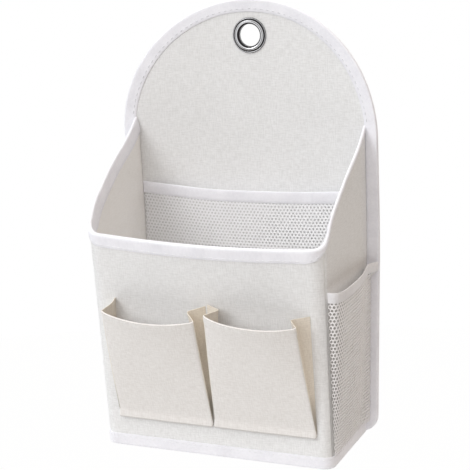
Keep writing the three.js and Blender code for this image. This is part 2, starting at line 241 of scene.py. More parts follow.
def link_mesh(
    name: str, points: Grid, faces: Sequence[Sequence[int]], uv: Optional[Grid] = None
) -> bpy.types.Object:
    """Makes a piece from points in millimetres, with its faces turned outwards.

    Args:
        name: The piece's name.
        points: Array of (x, depth, height).
        faces: Corner numbers of each face.
        uv: Place on the cloth of each point, in millimetres.

    Returns:
        The new object, at the origin.
    """
    mesh = bpy.data.meshes.new(name)
    mesh.from_pydata(to_frame(points).tolist(), [], [list(map(int, face)) for face in faces])
    if uv is not None:
        layer = mesh.uv_layers.new(name=CLOTH_MAP)
        corners = np.zeros(len(mesh.loops), dtype=np.int32)
        mesh.loops.foreach_get("vertex_index", corners)
        layer.data.foreach_set("uv", (np.asarray(uv)[corners] * MM).astype(np.float32).ravel())
    work = bmesh.new()
    work.from_mesh(mesh)
    bmesh.ops.recalc_face_normals(work, faces=work.faces)
    work.to_mesh(mesh)
    work.free()
    mesh.validate()
    piece = bpy.data.objects.new(name, mesh)
    bpy.context.scene.collection.objects.link(piece)
    return piece


def closed_sheet(
    name: str, face: Grid, back: Grid, uv: Grid, closed_loop: bool = False
) -> bpy.types.Object:
    """Makes a sheet with thickness from the grids of its two faces.

    Args:
        name: The piece's name.
        face: Points of one face, across and up.
        back: Points of the other face, in the same order.
        uv: Place on the cloth of each point of the grid, in millimetres.
        closed_loop: Whether the last column joins the first.

    Returns:
        The new object.
    """
    across, up = face.shape[:2]
    number = np.arange(across * up).reshape(across, up)
    if closed_loop:
        number = np.vstack([number, number[:1]])
    other = number + across * up

    def quads(a: Grid, b: Grid, c: Grid, d: Grid) -> Grid:
        """Faces from the numbers of their four corners."""
        return np.stack([a, b, c, d], axis=-1).reshape(-1, 4)

    faces = [
        quads(number[:-1, :-1], number[1:, :-1], number[1:, 1:], number[:-1, 1:]),
        quads(other[:-1, :-1], other[:-1, 1:], other[1:, 1:], other[1:, :-1]),
        quads(number[:-1, 0], other[:-1, 0], other[1:, 0], number[1:, 0]),
        quads(number[:-1, -1], number[1:, -1], other[1:, -1], other[:-1, -1]),
    ]
    if not closed_loop:
        faces.append(quads(number[0, :-1], number[0, 1:], other[0, 1:], other[0, :-1]))
        faces.append(quads(number[-1, :-1], other[-1, :-1], other[-1, 1:], number[-1, 1:]))
    flat_uv = uv.reshape(-1, 2)
    return link_mesh(
        name,
        np.concatenate([face.reshape(-1, 3), back.reshape(-1, 3)]),
        np.concatenate(faces),
        np.concatenate([flat_uv, flat_uv]),
    )


class FoldedTape:
    """A folded tape's middle surface, gathered line by line across its width."""

    def __init__(self, run: Grid) -> None:
        """Starts a tape.

        Args:
            run: Running length at each point along the tape.
        """
        self.run = run
        self.centres: list[Grid] = []
        self.normals: list[Grid] = []
        self.places: list[Grid] = []
        self.crossing = 0.0

    def add(self, centre: Grid, normal: Grid) -> None:
        """Adds the next line along the tape.

        Args:
            centre: The line's points.
            normal: The tape's outward direction at each.
        """
        if self.centres:
            self.crossing += float(np.mean(np.linalg.norm(centre - self.centres[-1], axis=1)))
        self.centres.append(centre)
        self.normals.append(normal)
        self.places.append(np.stack([self.run, np.full_like(self.run, self.crossing)], axis=-1))

    def build(self, name: str, thickness: float, closed_loop: bool = False) -> bpy.types.Object:
        """Makes the tape.

        Args:
            name: The piece's name.
            thickness: Its thickness.
            closed_loop: Whether its end joins its start.

        Returns:
            The tape.
        """
        centre = np.stack(self.centres, axis=1)
        half = np.stack(self.normals, axis=1) * thickness / 2
        uv = np.stack(self.places, axis=1)
        return closed_sheet(name, centre + half, centre - half, uv, closed_loop)


@dataclass
class TapeLine:
    """One line along a folded tape, before it is laid over its edge.

    Attributes:
        leg: Distance from the edge.
        offset: Place through the thickness of what the tape holds.
        beyond: Share of the direction beyond the edge in the tape's normal.
        out: Share of the outward direction in the tape's normal.
    """

    leg: float
    offset: Any
    beyond: float
    out: float


def fold_lines(
    legs: Sequence[float], outer: Any, inner: Any, half: float, bulge: float, count: int
) -> list[TapeLine]:
    """Lines of a tape folded over an edge, from one leg's end to the other's.

    Args:
        legs: Distances of a leg's lines from the edge, from its end.
        outer: Offset of the outer leg.
        inner: Offset of the inner leg.
        half: Half of the tape's thickness.
        bulge: How far the fold's middle stands beyond its ends.
        count: Steps of the fold and one more.

    Returns:
        The lines in order.
    """
    middle, reach = (outer + inner) / 2, (outer - inner) / 2
    lines = [TapeLine(leg, outer, 0.0, 1.0) for leg in legs]
    for angle in np.radians(np.linspace(0, 180, count))[1:-1]:
        rise, out = math.sin(angle), math.cos(angle)
        lines.append(TapeLine(half + bulge * (1 - rise), middle + reach * out, rise, out))
    lines += [TapeLine(leg, inner, 0.0, -1.0) for leg in reversed(legs)]
    return lines


def stitch_row(name: str, path: Grid, normal: Grid, pitch: float) -> bpy.types.Object:
    """Makes a row of sewn stitches along a path on a tape.

    Args:
        name: The piece's name.
        path: Points along the seam, in millimetres.
        normal: The tape's outward direction at each point.
        pitch: Distance from one stitch to the next.

    Returns:
        One object that holds all the stitches.
    """
    run = run_lengths(path)
    count = max(2, int(run[-1] / pitch))
    length, radius, sides, flatness = pitch * 0.62, 0.42, 6, 0.8
    rings = ((-0.5, 0.25, -0.3), (-0.28, 0.9, 0.05), (0.28, 0.9, 0.05), (0.5, 0.25, -0.3))
    points: list[Grid] = []
    faces: list[list[int]] = []

    def at(values: Grid, place: float) -> Grid:
        """Reads points or directions at a running length."""
        return np.array([np.interp(place, run, values[:, k]) for k in range(3)])

    for index in range(count):
        middle = (index + 0.5) * run[-1] / count
        outward = at(normal, middle)
        outward /= np.linalg.norm(outward)
        tangent = at(path, middle + 0.5) - at(path, middle - 0.5)
        tangent /= max(np.linalg.norm(tangent), TINY)
        sideways = np.cross(tangent, outward)
        first = len(points)
        for along, share, lift in rings:
            ring_centre = at(path, middle) + tangent * along * length + outward * lift
            for side in range(sides):
                angle = 2 * math.pi * side / sides
                spoke = sideways * math.cos(angle) + outward * math.sin(angle) * flatness
                points.append(ring_centre + radius * share * spoke)
        for ring in range(len(rings) - 1):
            for side in range(sides):
                a = first + ring * sides + side
                b = first + ring * sides + (side + 1) % sides
                faces.append([a, b, b + sides, a + sides])
        faces.append([first + side for side in range(sides)])
        last = first + (len(rings) - 1) * sides
        faces.append([last + side for side in reversed(range(sides))])
    return link_mesh(name, np.array(points), faces)


def hexagon_net(
    name: str,
    width: float,
    height: float,
    pitch: float,
    place: Callable[[Grid, Grid], Grid],
    opening: float,
    thickness: float,
) -> bpy.types.Object:
    """Makes a knitted net of six-sided openings on a surface.

    Args:
        name: The piece's name.
        width: Width of the flat net in millimetres.
        height: Height of the flat net.
        pitch: Distance between neighbouring openings.
        place: Turns places on the flat net into (x, depth, height).
        opening: Size of an opening as a share of its cell.
        thickness: Thickness of the yarn.

    Returns:
        The new object.
    """
    columns = int(width / pitch)
    side = pitch / math.sqrt(3)
    rows = int((height - side / 2) / (1.5 * side))
    step_x = width / (columns + 0.5)
    step_y = height / (rows + 1 / 3)
    corners = ((1, 1), (0, 2), (-1, 1), (-1, -1), (0, -2), (1, -1))
    unit_x, unit_y = step_x / 2, step_y / 3
    outer_index: dict[tuple[int, int], int] = {}
    flat: list[tuple[float, float]] = []
    cells: list[tuple[list[int], list[int]]] = []
    for row in range(rows):
        for column in range(columns):
            middle_x, middle_y = 2 * column + 1 + row % 2, 3 * row + 2
            outer, inner = [], []
            for right, up in corners:
                key = (middle_x + right, middle_y + up)
                if key not in outer_index:
                    outer_index[key] = len(flat)
                    flat.append((key[0] * unit_x, key[1] * unit_y))
                outer.append(outer_index[key])
            for right, up in corners:
                inner.append(len(flat))
                flat.append(
                    ((middle_x + right * opening) * unit_x, (middle_y + up * opening) * unit_y)
                )
            cells.append((outer, inner))
    uv = np.array(flat)
    reach = 0.5
    centre = place(uv[:, 0], uv[:, 1])
    along = place(uv[:, 0] + reach, uv[:, 1]) - place(uv[:, 0] - reach, uv[:, 1])
    upward = place(uv[:, 0], uv[:, 1] + reach) - place(uv[:, 0], uv[:, 1] - reach)
    normal = unit(np.cross(upward, along))
    count = len(uv)
    uses: dict[tuple[int, int], int] = {}
    faces: list[list[int]] = []
    for outer, inner in cells:
        for k in range(len(corners)):
            n = (k + 1) % len(corners)
            faces.append([outer[k], outer[n], inner[n], inner[k]])
            faces.append([inner[k] + count, inner[n] + count, outer[n] + count, outer[k] + count])
            faces.append([inner[k], inner[n], inner[n] + count, inner[k] + count])
            uses[(outer[k], outer[n])] = uses.get((outer[k], outer[n]), 0) + 1
    for first, second in uses:
        if (second, first) not in uses:
            faces.append([second, first, first + count, second + count])
    half = normal * thickness / 2
    return link_mesh(
        name, np.concatenate([centre + half, centre - half]), faces, np.concatenate([uv, uv])
    )


def turned_ring(
    name: str, profile: Sequence[tuple[float, float]], segments: int = 96
) -> bpy.types.Object:
    """Turns a closed profile about the eyelet's axis.

    Args:
        name: The piece's name.
        profile: Pairs of radius and depth from the wall, in millimetres.
        segments: Steps round the axis.

    Returns:
        The turned ring.
    """
    clear_selection()
    radius, depth = profile[0]
    bpy.ops.mesh.primitive_circle_add(
        vertices=segments,
        radius=radius * MM,
        location=(0, -depth * MM, 0),
        rotation=(math.pi / 2, 0, 0),
    )
    ring = bpy.context.object
    ring.name = ring.data.name = name
    bpy.ops.object.mode_set(mode="EDIT")
    bpy.ops.mesh.select_all(action="SELECT")
    for start, end in zip(profile, [*profile[1:], profile[0]]):
        bpy.ops.mesh.extrude_edges_move(
            TRANSFORM_OT_translate={"value": (0, (start[1] - end[1]) * MM, 0)}
        )
        share = end[0] / start[0]
        bpy.ops.transform.resize(value=(share, share, share))
    bpy.ops.mesh.select_all(action="SELECT")
    bpy.ops.mesh.remove_doubles(threshold=1e-6)
    bpy.ops.mesh.normals_make_consistent(inside=False)
    bpy.ops.object.mode_set(mode="OBJECT")
    bpy.ops.object.transform_apply(location=True, rotation=True, scale=True)
    clear_selection()
    return ring


# Material helpers


class Value:
    """A socket of a node tree that can be used in sums."""

    def __init__(self, net: "NodeTree", socket: bpy.types.NodeSocket) -> None:
        """Keeps the socket and the tree that it belongs to."""
        self.net = net
        self.socket = socket

    def _math(self, operation: str, *others: Any) -> "Value":
        """Adds a Math node with this value first."""
        return self.net.add("ShaderNodeMath", {"operation": operation}, self, *others)

    def __add__(self, other: Any) -> "Value":
        """Adds."""
        return self._math("ADD", other)

    __radd__ = __add__

    def __mul__(self, other: Any) -> "Value":
        """Multiplies."""
        return self._math("MULTIPLY", other)

    __rmul__ = __mul__

    def __pow__(self, other: Any) -> "Value":
        """Raises to a power."""
        return self._math("POWER", other)

    def wave(self) -> "Value":
        """Sine of the value."""
        return self._math("SINE")

    def size(self) -> "Value":
        """Value without its sign."""
        return self._math("ABSOLUTE")

    def above(self, other: Any) -> "Value":
        """The larger of two."""
        return self._math("MAXIMUM", other)

    def spread(
        self, low: float, high: float, to_low: float = 0.0, to_high: float = 1.0
    ) -> "Value":
        """Maps one range onto another, clamped."""
        ends = (low, high, to_low, to_high)
        return self.net.add("ShaderNodeMapRange", {"clamp": True}, self, *ends)


class NodeTree:
    """The shader nodes of a material or a world, under construction."""

    def __init__(self, owner: Union[bpy.types.Material, bpy.types.World], output: str) -> None:
        """Empties the owner's tree and gives it an output.

        Args:
            owner: The material or world.
            output: Type of its output node.
        """
        owner.use_nodes = True
        self.tree = owner.node_tree
        self.tree.nodes.clear()
        self.output = self.tree.nodes.new(output)

    def node(
        self, kind: str, settings: dict[str, Any], *values: Any, **named: Any
    ) -> bpy.types.Node:
        """Adds a node.

        Args:
            kind: The node's type.
            settings: Its own settings, set first; "stops" are a colour ramp's.
            values: What its sockets get, in order.
            named: What sockets get by name, with underscores for spaces.

        Returns:
            The node.
        """
        node = self.tree.nodes.new(kind)
        for key, value in settings.items():
            if key == "stops":
                self._ramp(node, value)
            else:
                setattr(node, key, value)
        pairs = list(enumerate(values))
        pairs += [(key.replace("_", " "), value) for key, value in named.items()]
        for key, value in pairs:
            self.set(node.inputs[key], value)
        return node

    @staticmethod
    def _ramp(node: bpy.types.Node, stops: Sequence[tuple[float, Colour]]) -> None:
        """Sets the two stops of a colour ramp.

        Args:
            node: The ramp.
            stops: Place and colour of each.
        """
        for element, (place, colour) in zip(node.color_ramp.elements, stops):
            element.position = place
            element.color = (*colour, 1.0)

    def add(
        self, kind: str, settings: dict[str, Any], *values: Any, out: Any = 0, **named: Any
    ) -> Value:
        """Adds a node and gives one of its outputs."""
        return Value(self, self.node(kind, settings, *values, **named).outputs[out])

    def set(self, socket: bpy.types.NodeSocket, value: Any) -> None:
        """Links or sets one socket.

        Args:
            socket: The input.
            value: A value of the tree, a colour or a number.
        """
        if isinstance(value, Value):
            self.tree.links.new(value.socket, socket)
        elif isinstance(value, tuple) and len(value) == 3 and socket.type == "RGBA":
            socket.default_value = (*value, 1.0)
        else:
            socket.default_value = value

    def mix(self, share: Any, first: Any, second: Any) -> Value:
        """Mixes two colours.

        Args:
            share: Share of the second.
            first: A colour.
            second: Another colour.

        Returns:
            The mixed colour.
        """
        node = self.node("ShaderNodeMix", {"data_type": "RGBA"})
        for index, value in ((0, share), (6, first), (7, second)):
            self.set(node.inputs[index], value)
        return Value(self, node.outputs[2])

    def blend(self, share: Value, first: Value, second: Value) -> None:
        """Sends a mix of two shaders to the output."""
        mixed = self.add("ShaderNodeMixShader", {}, share, first, second)
        self.set(self.output.inputs["Surface"], mixed)

    def on_cloth(self) -> Value:
        """Place on the cloth, from the piece's UV map."""
        return self.add("ShaderNodeUVMap", {"uv_map": CLOTH_MAP})

    def on_object(self) -> Value:
        """Place on the object."""
        return self.add("ShaderNodeTexCoord", {}, out="Object")

    def parts(self, place: Value) -> tuple[Value, ...]:
        """The three parts of a place."""
        split = self.node("ShaderNodeSeparateXYZ", {}, place)
        return tuple(Value(self, output) for output in split.outputs)

    def noise(
        self, place: Value, scale: float, detail: float, roughness: float = 0.5, flat: bool = False
    ) -> Value:
        """Adds a noise.

        Args:
            place: Where it is read.
            scale: Its grains in a metre.
            detail: Number of finer noises in it.
            roughness: How strong the finer noises are.
            flat: Whether it is read in two dimensions only.

        Returns:
            The noise.
        """
        settings = {"noise_dimensions": "2D" if flat else "3D"}
        sockets = {"Vector": place, "Scale": scale, "Detail": detail, "Roughness": roughness}
        return self.add("ShaderNodeTexNoise", settings, **sockets)

    def bump(self, height: Value, strength: float, distance: float) -> Value:
        """Adds a bump whose distance is in millimetres."""
        sockets = {"Strength": strength, "Distance": distance * MM, "Height": height}
        return self.add("ShaderNodeBump", {}, **sockets)

    def seen(self) -> Value:
        """1 on the camera's own rays, and on those that a shine or a clear thing passes on.

        Returns:
            The mask.
        """
        path = self.node("ShaderNodeLightPath", {})
        camera, glossy, through = (
            Value(self, path.outputs[f"Is {kind} Ray"])
            for kind in ("Camera", "Glossy", "Transmission")
        )
        return camera.above(glossy).above(through)


class Network(NodeTree):
    """A material under construction."""

    def __init__(self, name: str) -> None:
        """Makes an empty material with a Principled shader.

        Args:
            name: The material's name.
        """
        self.material = bpy.data.materials.new(name)
        super().__init__(self.material, "ShaderNodeOutputMaterial")
        self.shader = self.tree.nodes.new("ShaderNodeBsdfPrincipled")
        self.tree.links.new(self.shader.outputs[0], self.output.inputs["Surface"])

    def finish(self, **sockets: Any) -> bpy.types.Material:
        """Sets the shader's sockets.

        Args:
            sockets: Values by the sockets' names, with underscores for spaces.

        Returns:
            The material.
        """
        for key, value in sockets.items():
            self.set(self.shader.inputs[key.replace("_", " ")], value)
        return self.material


@dataclass(frozen=True)
class Weave:
    """Plain-woven cloth: crossing threads, slubs and faint mottling, laid out by the UV map.

    Attributes:
        name: The material's name.
        colour: Colour of the threads' tops.
        shade: Colour between the threads.
        thread: Width of a pair of threads, in millimetres.
        relief: Strength of the bump.
        roughness: How matt it is.
        net_shadow: Painted shadow of a net: how much darker the cloth is under it.
        net_shadow_from: Height in the frame where the net's painted shadow starts.
        net_shadow_to: Height where it is full.
        foot_shade: Painted shade along the foot of a piece: how much darker the cloth is there.
        foot_shade_reach: Height up the cloth that the painted foot shade reaches, in millimetres.
        dusk: Colour of the cloth in shade.
    """

    name: str
    colour: Colour
    shade: Colour
    thread: float = 0.8
    relief: float = 0.25
    roughness: float = 0.92
    net_shadow: float = 0.0
    net_shadow_from: float = -0.200
    net_shadow_to: float = -0.212
    foot_shade: float = 0.0
    foot_shade_reach: float = 1.3
    dusk: Colour = (0.36, 0.345, 0.335)

    @staticmethod
    def _streaks(net: Network, place: Value, across: float, up: float) -> Value:
        """Adds the uneven thickness of the threads that run one way.

        Args:
            net: The material.
            place: Place on the cloth.
            across: Streaks in a metre across the cloth.
            up: Streaks in a metre up the cloth.

        Returns:
            The streaks.
        """
        moved = net.add("ShaderNodeMapping", {}, place, Scale=(across, up, 1.0))
        return net.noise(moved, 1.0, 3.0, 0.62, flat=True)

    def build(self) -> bpy.types.Material:
        """Makes the material, with painted shade under a net and along the cloth's foot.

        Returns:
            The material.
        """
        net = Network(self.name)
        place = net.on_cloth()
        across, up, _ = net.parts(place)
        turn = 2 * math.pi / (self.thread * MM)
        wander = net.noise(place, 180.0, 1.0, flat=True)
        warp = ((across * turn) + wander * 2.2).wave()
        weft = ((up * turn) + wander * 2.6).wave()
        threads = (warp * weft) * 0.5 + 0.5
        level = self._streaks(net, place, 150.0, 950.0)
        upright = self._streaks(net, place, 950.0, 150.0)
        mottle = net.noise(place, 28.0, 4.0, 0.6, flat=True)
        lines = (level + upright).spread(0.72, 1.28)
        tone = lines * 0.68 + mottle.spread(0.3, 0.7) * 0.1 + threads * 0.24
        colour = net.mix(tone.spread(0.0, 1.0), self.shade, self.colour)
        # Painted shadow of a net: the cloth darkens toward dusk over the heights that the net
        # covers.
        if self.net_shadow > 0:
            height = net.parts(net.on_object())[2]
            under = height.spread(self.net_shadow_from, self.net_shadow_to) * self.net_shadow
            colour = net.mix(under, colour, self.dusk)
        # Painted shade along the foot: the cloth darkens toward its lower edge, for the shadow
        # under a seam or deep in a fold.
        if self.foot_shade > 0:
            reach = self.foot_shade_reach * MM
            low = up.spread(reach, 0.35 * reach) * self.foot_shade
            colour = net.mix(low, colour, self.dusk)
        return net.finish(
            Base_Color=colour,
            Roughness=self.roughness,
            Specular_IOR_Level=0.25,
            Sheen_Weight=0.08,
            Normal=net.bump(threads * 0.5 + lines * 0.8, self.relief, 0.25),
        )


@dataclass(frozen=True)
class Tape:
    """Woven binding tape: fine ribs across it, laid out by the UV map (run, width).

    Attributes:
        name: The material's name.
        colour: Colour of the ribs' tops.
        shade: Colour between the ribs.
        rib: Distance between ribs, in millimetres.
    """

    name: str
    colour: Colour
    shade: Colour
    rib: float = 0.9

    def build(self) -> bpy.types.Material:
        """Makes the material.

        Returns:
            The material.
        """
        net = Network(self.name)
        place = net.on_cloth()
        along, across, _ = net.parts(place)
        turn = 2 * math.pi / (self.rib * MM)
        slant = ((along * turn) + (across * (turn * 0.55)).wave() * 0.8).wave()
        fine = net.noise(place, 420.0, 3.0, flat=True)
        soft = net.noise(place, 55.0, 2.0, flat=True)
        tone = slant * 0.16 + fine * 0.6 + soft.spread(0.3, 0.7) * 0.35
        return net.finish(
            Base_Color=net.mix(tone.spread(0.1, 0.75), self.shade, self.colour),
            Roughness=0.82,
            Specular_IOR_Level=0.3,
            Sheen_Weight=0.1,
            Normal=net.bump(slant * 0.5 + fine * 0.7, 0.3, 0.2),
        )


@dataclass(frozen=True)
class Yarn:
    """Knitted yarn of the nets and the sewing thread: white with a faint twist.

    Attributes:
        name: The material's name.
        colour: Colour of the yarn's top.
        shade: Colour in its twist.
        grain: Grains of the twist in a metre.
    """

    name: str
    colour: Colour
    shade: Colour
    grain: float = 900.0

    def build(self) -> bpy.types.Material:
        """Makes the material.

        Returns:
            The material.
        """
        net = Network(self.name)
        twist = net.noise(net.on_object(), self.grain, 2.0, 0.6)
        return net.finish(
            Base_Color=net.mix(twist.spread(0.35, 0.7), self.shade, self.colour),
            Roughness=0.75,
            Specular_IOR_Level=0.3,
            Normal=net.bump(twist, 0.25, 0.1),
        )


@dataclass(frozen=True)
class Board:
    """Grey pasteboard with fibres.

    Attributes:
        name: The material's name.
        colour: Colour of the board.
        shade: Colour of its darker fibres.
    """

    name: str
    colour: Colour
    shade: Colour

    def build(self) -> bpy.types.Material:
        """Makes the material.

        Returns:
            The material.
        """
        net = Network(self.name)
        fibre = net.noise(net.on_object(), 240.0, 5.0, 0.7)
        colour = net.mix(fibre.spread(0.3, 0.7), self.shade, self.colour)
        return net.finish(Base_Color=colour, Roughness=0.9, Normal=net.bump(fibre, 0.2, 0.2))


@dataclass(frozen=True)
class Nickel:
    """Polished nickel with turning marks, faint handling marks and rings of painted dark
    reflection.

    Attributes:
        name: The material's name.
        colour: Colour of the clean metal.
        smudged: Brightness of the handled metal, as a share of the clean.
        pitch: Distance between turning marks, in millimetres.
        rings: Middle radius, width and depth of each ring of painted reflection.
        dark: Colour of the painted reflection in the rings.
    """

    name: str
    colour: Colour
    smudged: float = 0.86
    pitch: float = 0.35
    rings: tuple[tuple[float, float, float], ...] = (
        (15.6, 0.6, 0.85),
        (14.1, 1.0, 0.99),
        (12.5, 0.5, 0.7),
        (10.4, 1.2, 0.98),
    )
    dark: Colour = (0.012, 0.011, 0.011)

    def build(self) -> bpy.types.Material:
        """Makes the material.

        Returns:
            The material.
        """
        net = Network(self.name)
        place = net.on_object()
        x, _, z = net.parts(place)
        radius = (x * x + z * z) ** 0.5
        marks = (radius * (2 * math.pi / (self.pitch * MM))).wave()
        smudge = net.noise(place, 160.0, 3.0, 0.6)
        handled = tuple(part * self.smudged for part in self.colour)
        bright = net.mix(smudge.spread(0.3, 0.75), self.colour, handled)
        painted_reflection: Any = 0.0
        # Painted reflection: dark rings in the base colour where the polished metal would mirror
        # dark surroundings.
        for middle, width, depth in self.rings:
            inner = radius.spread((middle - width) * MM, (middle - 0.5 * width) * MM)
            outer = radius.spread((middle + width) * MM, (middle + 0.5 * width) * MM)
            painted_reflection = inner * outer * depth + painted_reflection
        return net.finish(
            Base_Color=net.mix(painted_reflection, bright, self.dark),
            Metallic=1.0,
            Roughness=smudge.spread(0.35, 0.75, 0.14, 0.26),
            Normal=net.bump(marks, 0.03, 0.05),
        )


class Wardrobe:
    """The organizer's finishes: one material for each slot, and six for single places, four of
    them copies with painted shade.
    """

    def __init__(self) -> None:
        """Builds every finish once."""
        linen = ((0.90, 0.902, 0.908), (0.735, 0.733, 0.733))
        pocket = ((0.865, 0.845, 0.83), (0.725, 0.698, 0.675))
        # Pleat cloth: a warmer copy of the pocket cloth, with painted shade of the gap between
        # face and panel.
        pleat = ((0.88, 0.82, 0.725), (0.72, 0.655, 0.57))
        lining = ((0.975, 0.965, 0.95), (0.88, 0.862, 0.842))
        binding = ((0.925, 0.923, 0.97), (0.825, 0.823, 0.875))
        # Greyer copy of the binding for the side net's hem: painted shade of the bag's right side.
        painted_shade_side_tape = ((0.85, 0.84, 0.86), (0.75, 0.74, 0.76))
        net = ((0.985, 0.985, 1.0), (0.93, 0.93, 0.95))
        # Darker copy of the net yarn for the side net: painted shade of the bag's right side.
        side_net = ((0.90, 0.885, 0.89), (0.82, 0.805, 0.81))
        board = ((0.52, 0.43, 0.31), (0.42, 0.34, 0.24))
        thread = ((0.80, 0.80, 0.84), (0.62, 0.62, 0.66))
        pale_thread = ((0.92, 0.92, 0.95), (0.80, 0.80, 0.84))
        nickel = (0.78, 0.78, 0.80)
        sewing_grain = 700.0
        # Colour of the painted shade deep in the pleats' fold.
        pleat_fold_shade = (0.17, 0.15, 0.125)
        self.materials: dict[Slot, bpy.types.Material] = {
            Slot.LINEN: Weave("linen_weave", *linen).build(),
            # Pocket cloth with painted shade along its foot, for the shadow under the pocket's
            # bottom edge.
            Slot.POCKET: Weave("pocket_weave", *pocket, foot_shade=0.6).build(),
            Slot.LINING: Weave("lining_weave", *lining, thread=0.7).build(),
            Slot.BINDING: Tape("binding_tape", *binding).build(),
            Slot.NET: Yarn("net_yarn", *net).build(),
            Slot.BOARD: Board("board_fibre", *board).build(),
            Slot.METAL: Nickel("polished_nickel", nickel).build(),
        }
        self.thread = Yarn("sewing_thread", *thread, sewing_grain).build()
        self.pale_thread = Yarn("pale_sewing_thread", *pale_thread, sewing_grain).build()
        # Pleats: the warm copy of the pocket cloth, with painted shade deepening toward the foot
        # of the fold.
        self.pleat = Weave(
            "painted_shade_pleat_weave", *pleat, foot_shade=0.6, foot_shade_reach=42.0, dusk=pleat_fold_shade
        ).build()
        # Side net: the darker yarn copy with painted shade.
        self.painted_shade_side_yarn = Yarn("painted_shade_side_net_yarn", *side_net).build()
        # Right side cloth: a copy of the linen with the side net's shadow painted on below the
        # net's hem.
        self.net_shadow_linen = Weave("net_shadow_linen_weave", *linen, net_shadow=0.48).build()
        # Side net hem tape: the greyer binding copy with painted shade.
        self.painted_shade_side_tape = Tape("painted_shade_side_net_tape", *painted_shade_side_tape).build()

    def dress(
        self,
        piece: bpy.types.Object,
        slot: Slot,
        body: str = "bag",
        nodes: Sequence[str] = (),
        material: Optional[bpy.types.Material] = None,
        degrees: float = 50.0,
    ) -> bpy.types.Object:
        """Gives a piece its finish and its body, and hides the CAD nodes that it stands for.

        Args:
            piece: The new piece.
            slot: Its material slot, which picks its material unless another is given.
            body: The body it rides on.
            nodes: CAD nodes that it replaces.
            material: Another material than the slot's own.
            degrees: Angle above which its edges stay sharp.

        Returns:
            The piece.
        """
        piece.data.materials.clear()
        piece.data.materials.append(material or self.materials[slot])
        smooth(piece, degrees)
        if nodes:
            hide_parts(*nodes)
        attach(piece, body)
        LOG.info("%s: %d faces, body %s", piece.name, len(piece.data.polygons), body)
        return piece


# The back panel


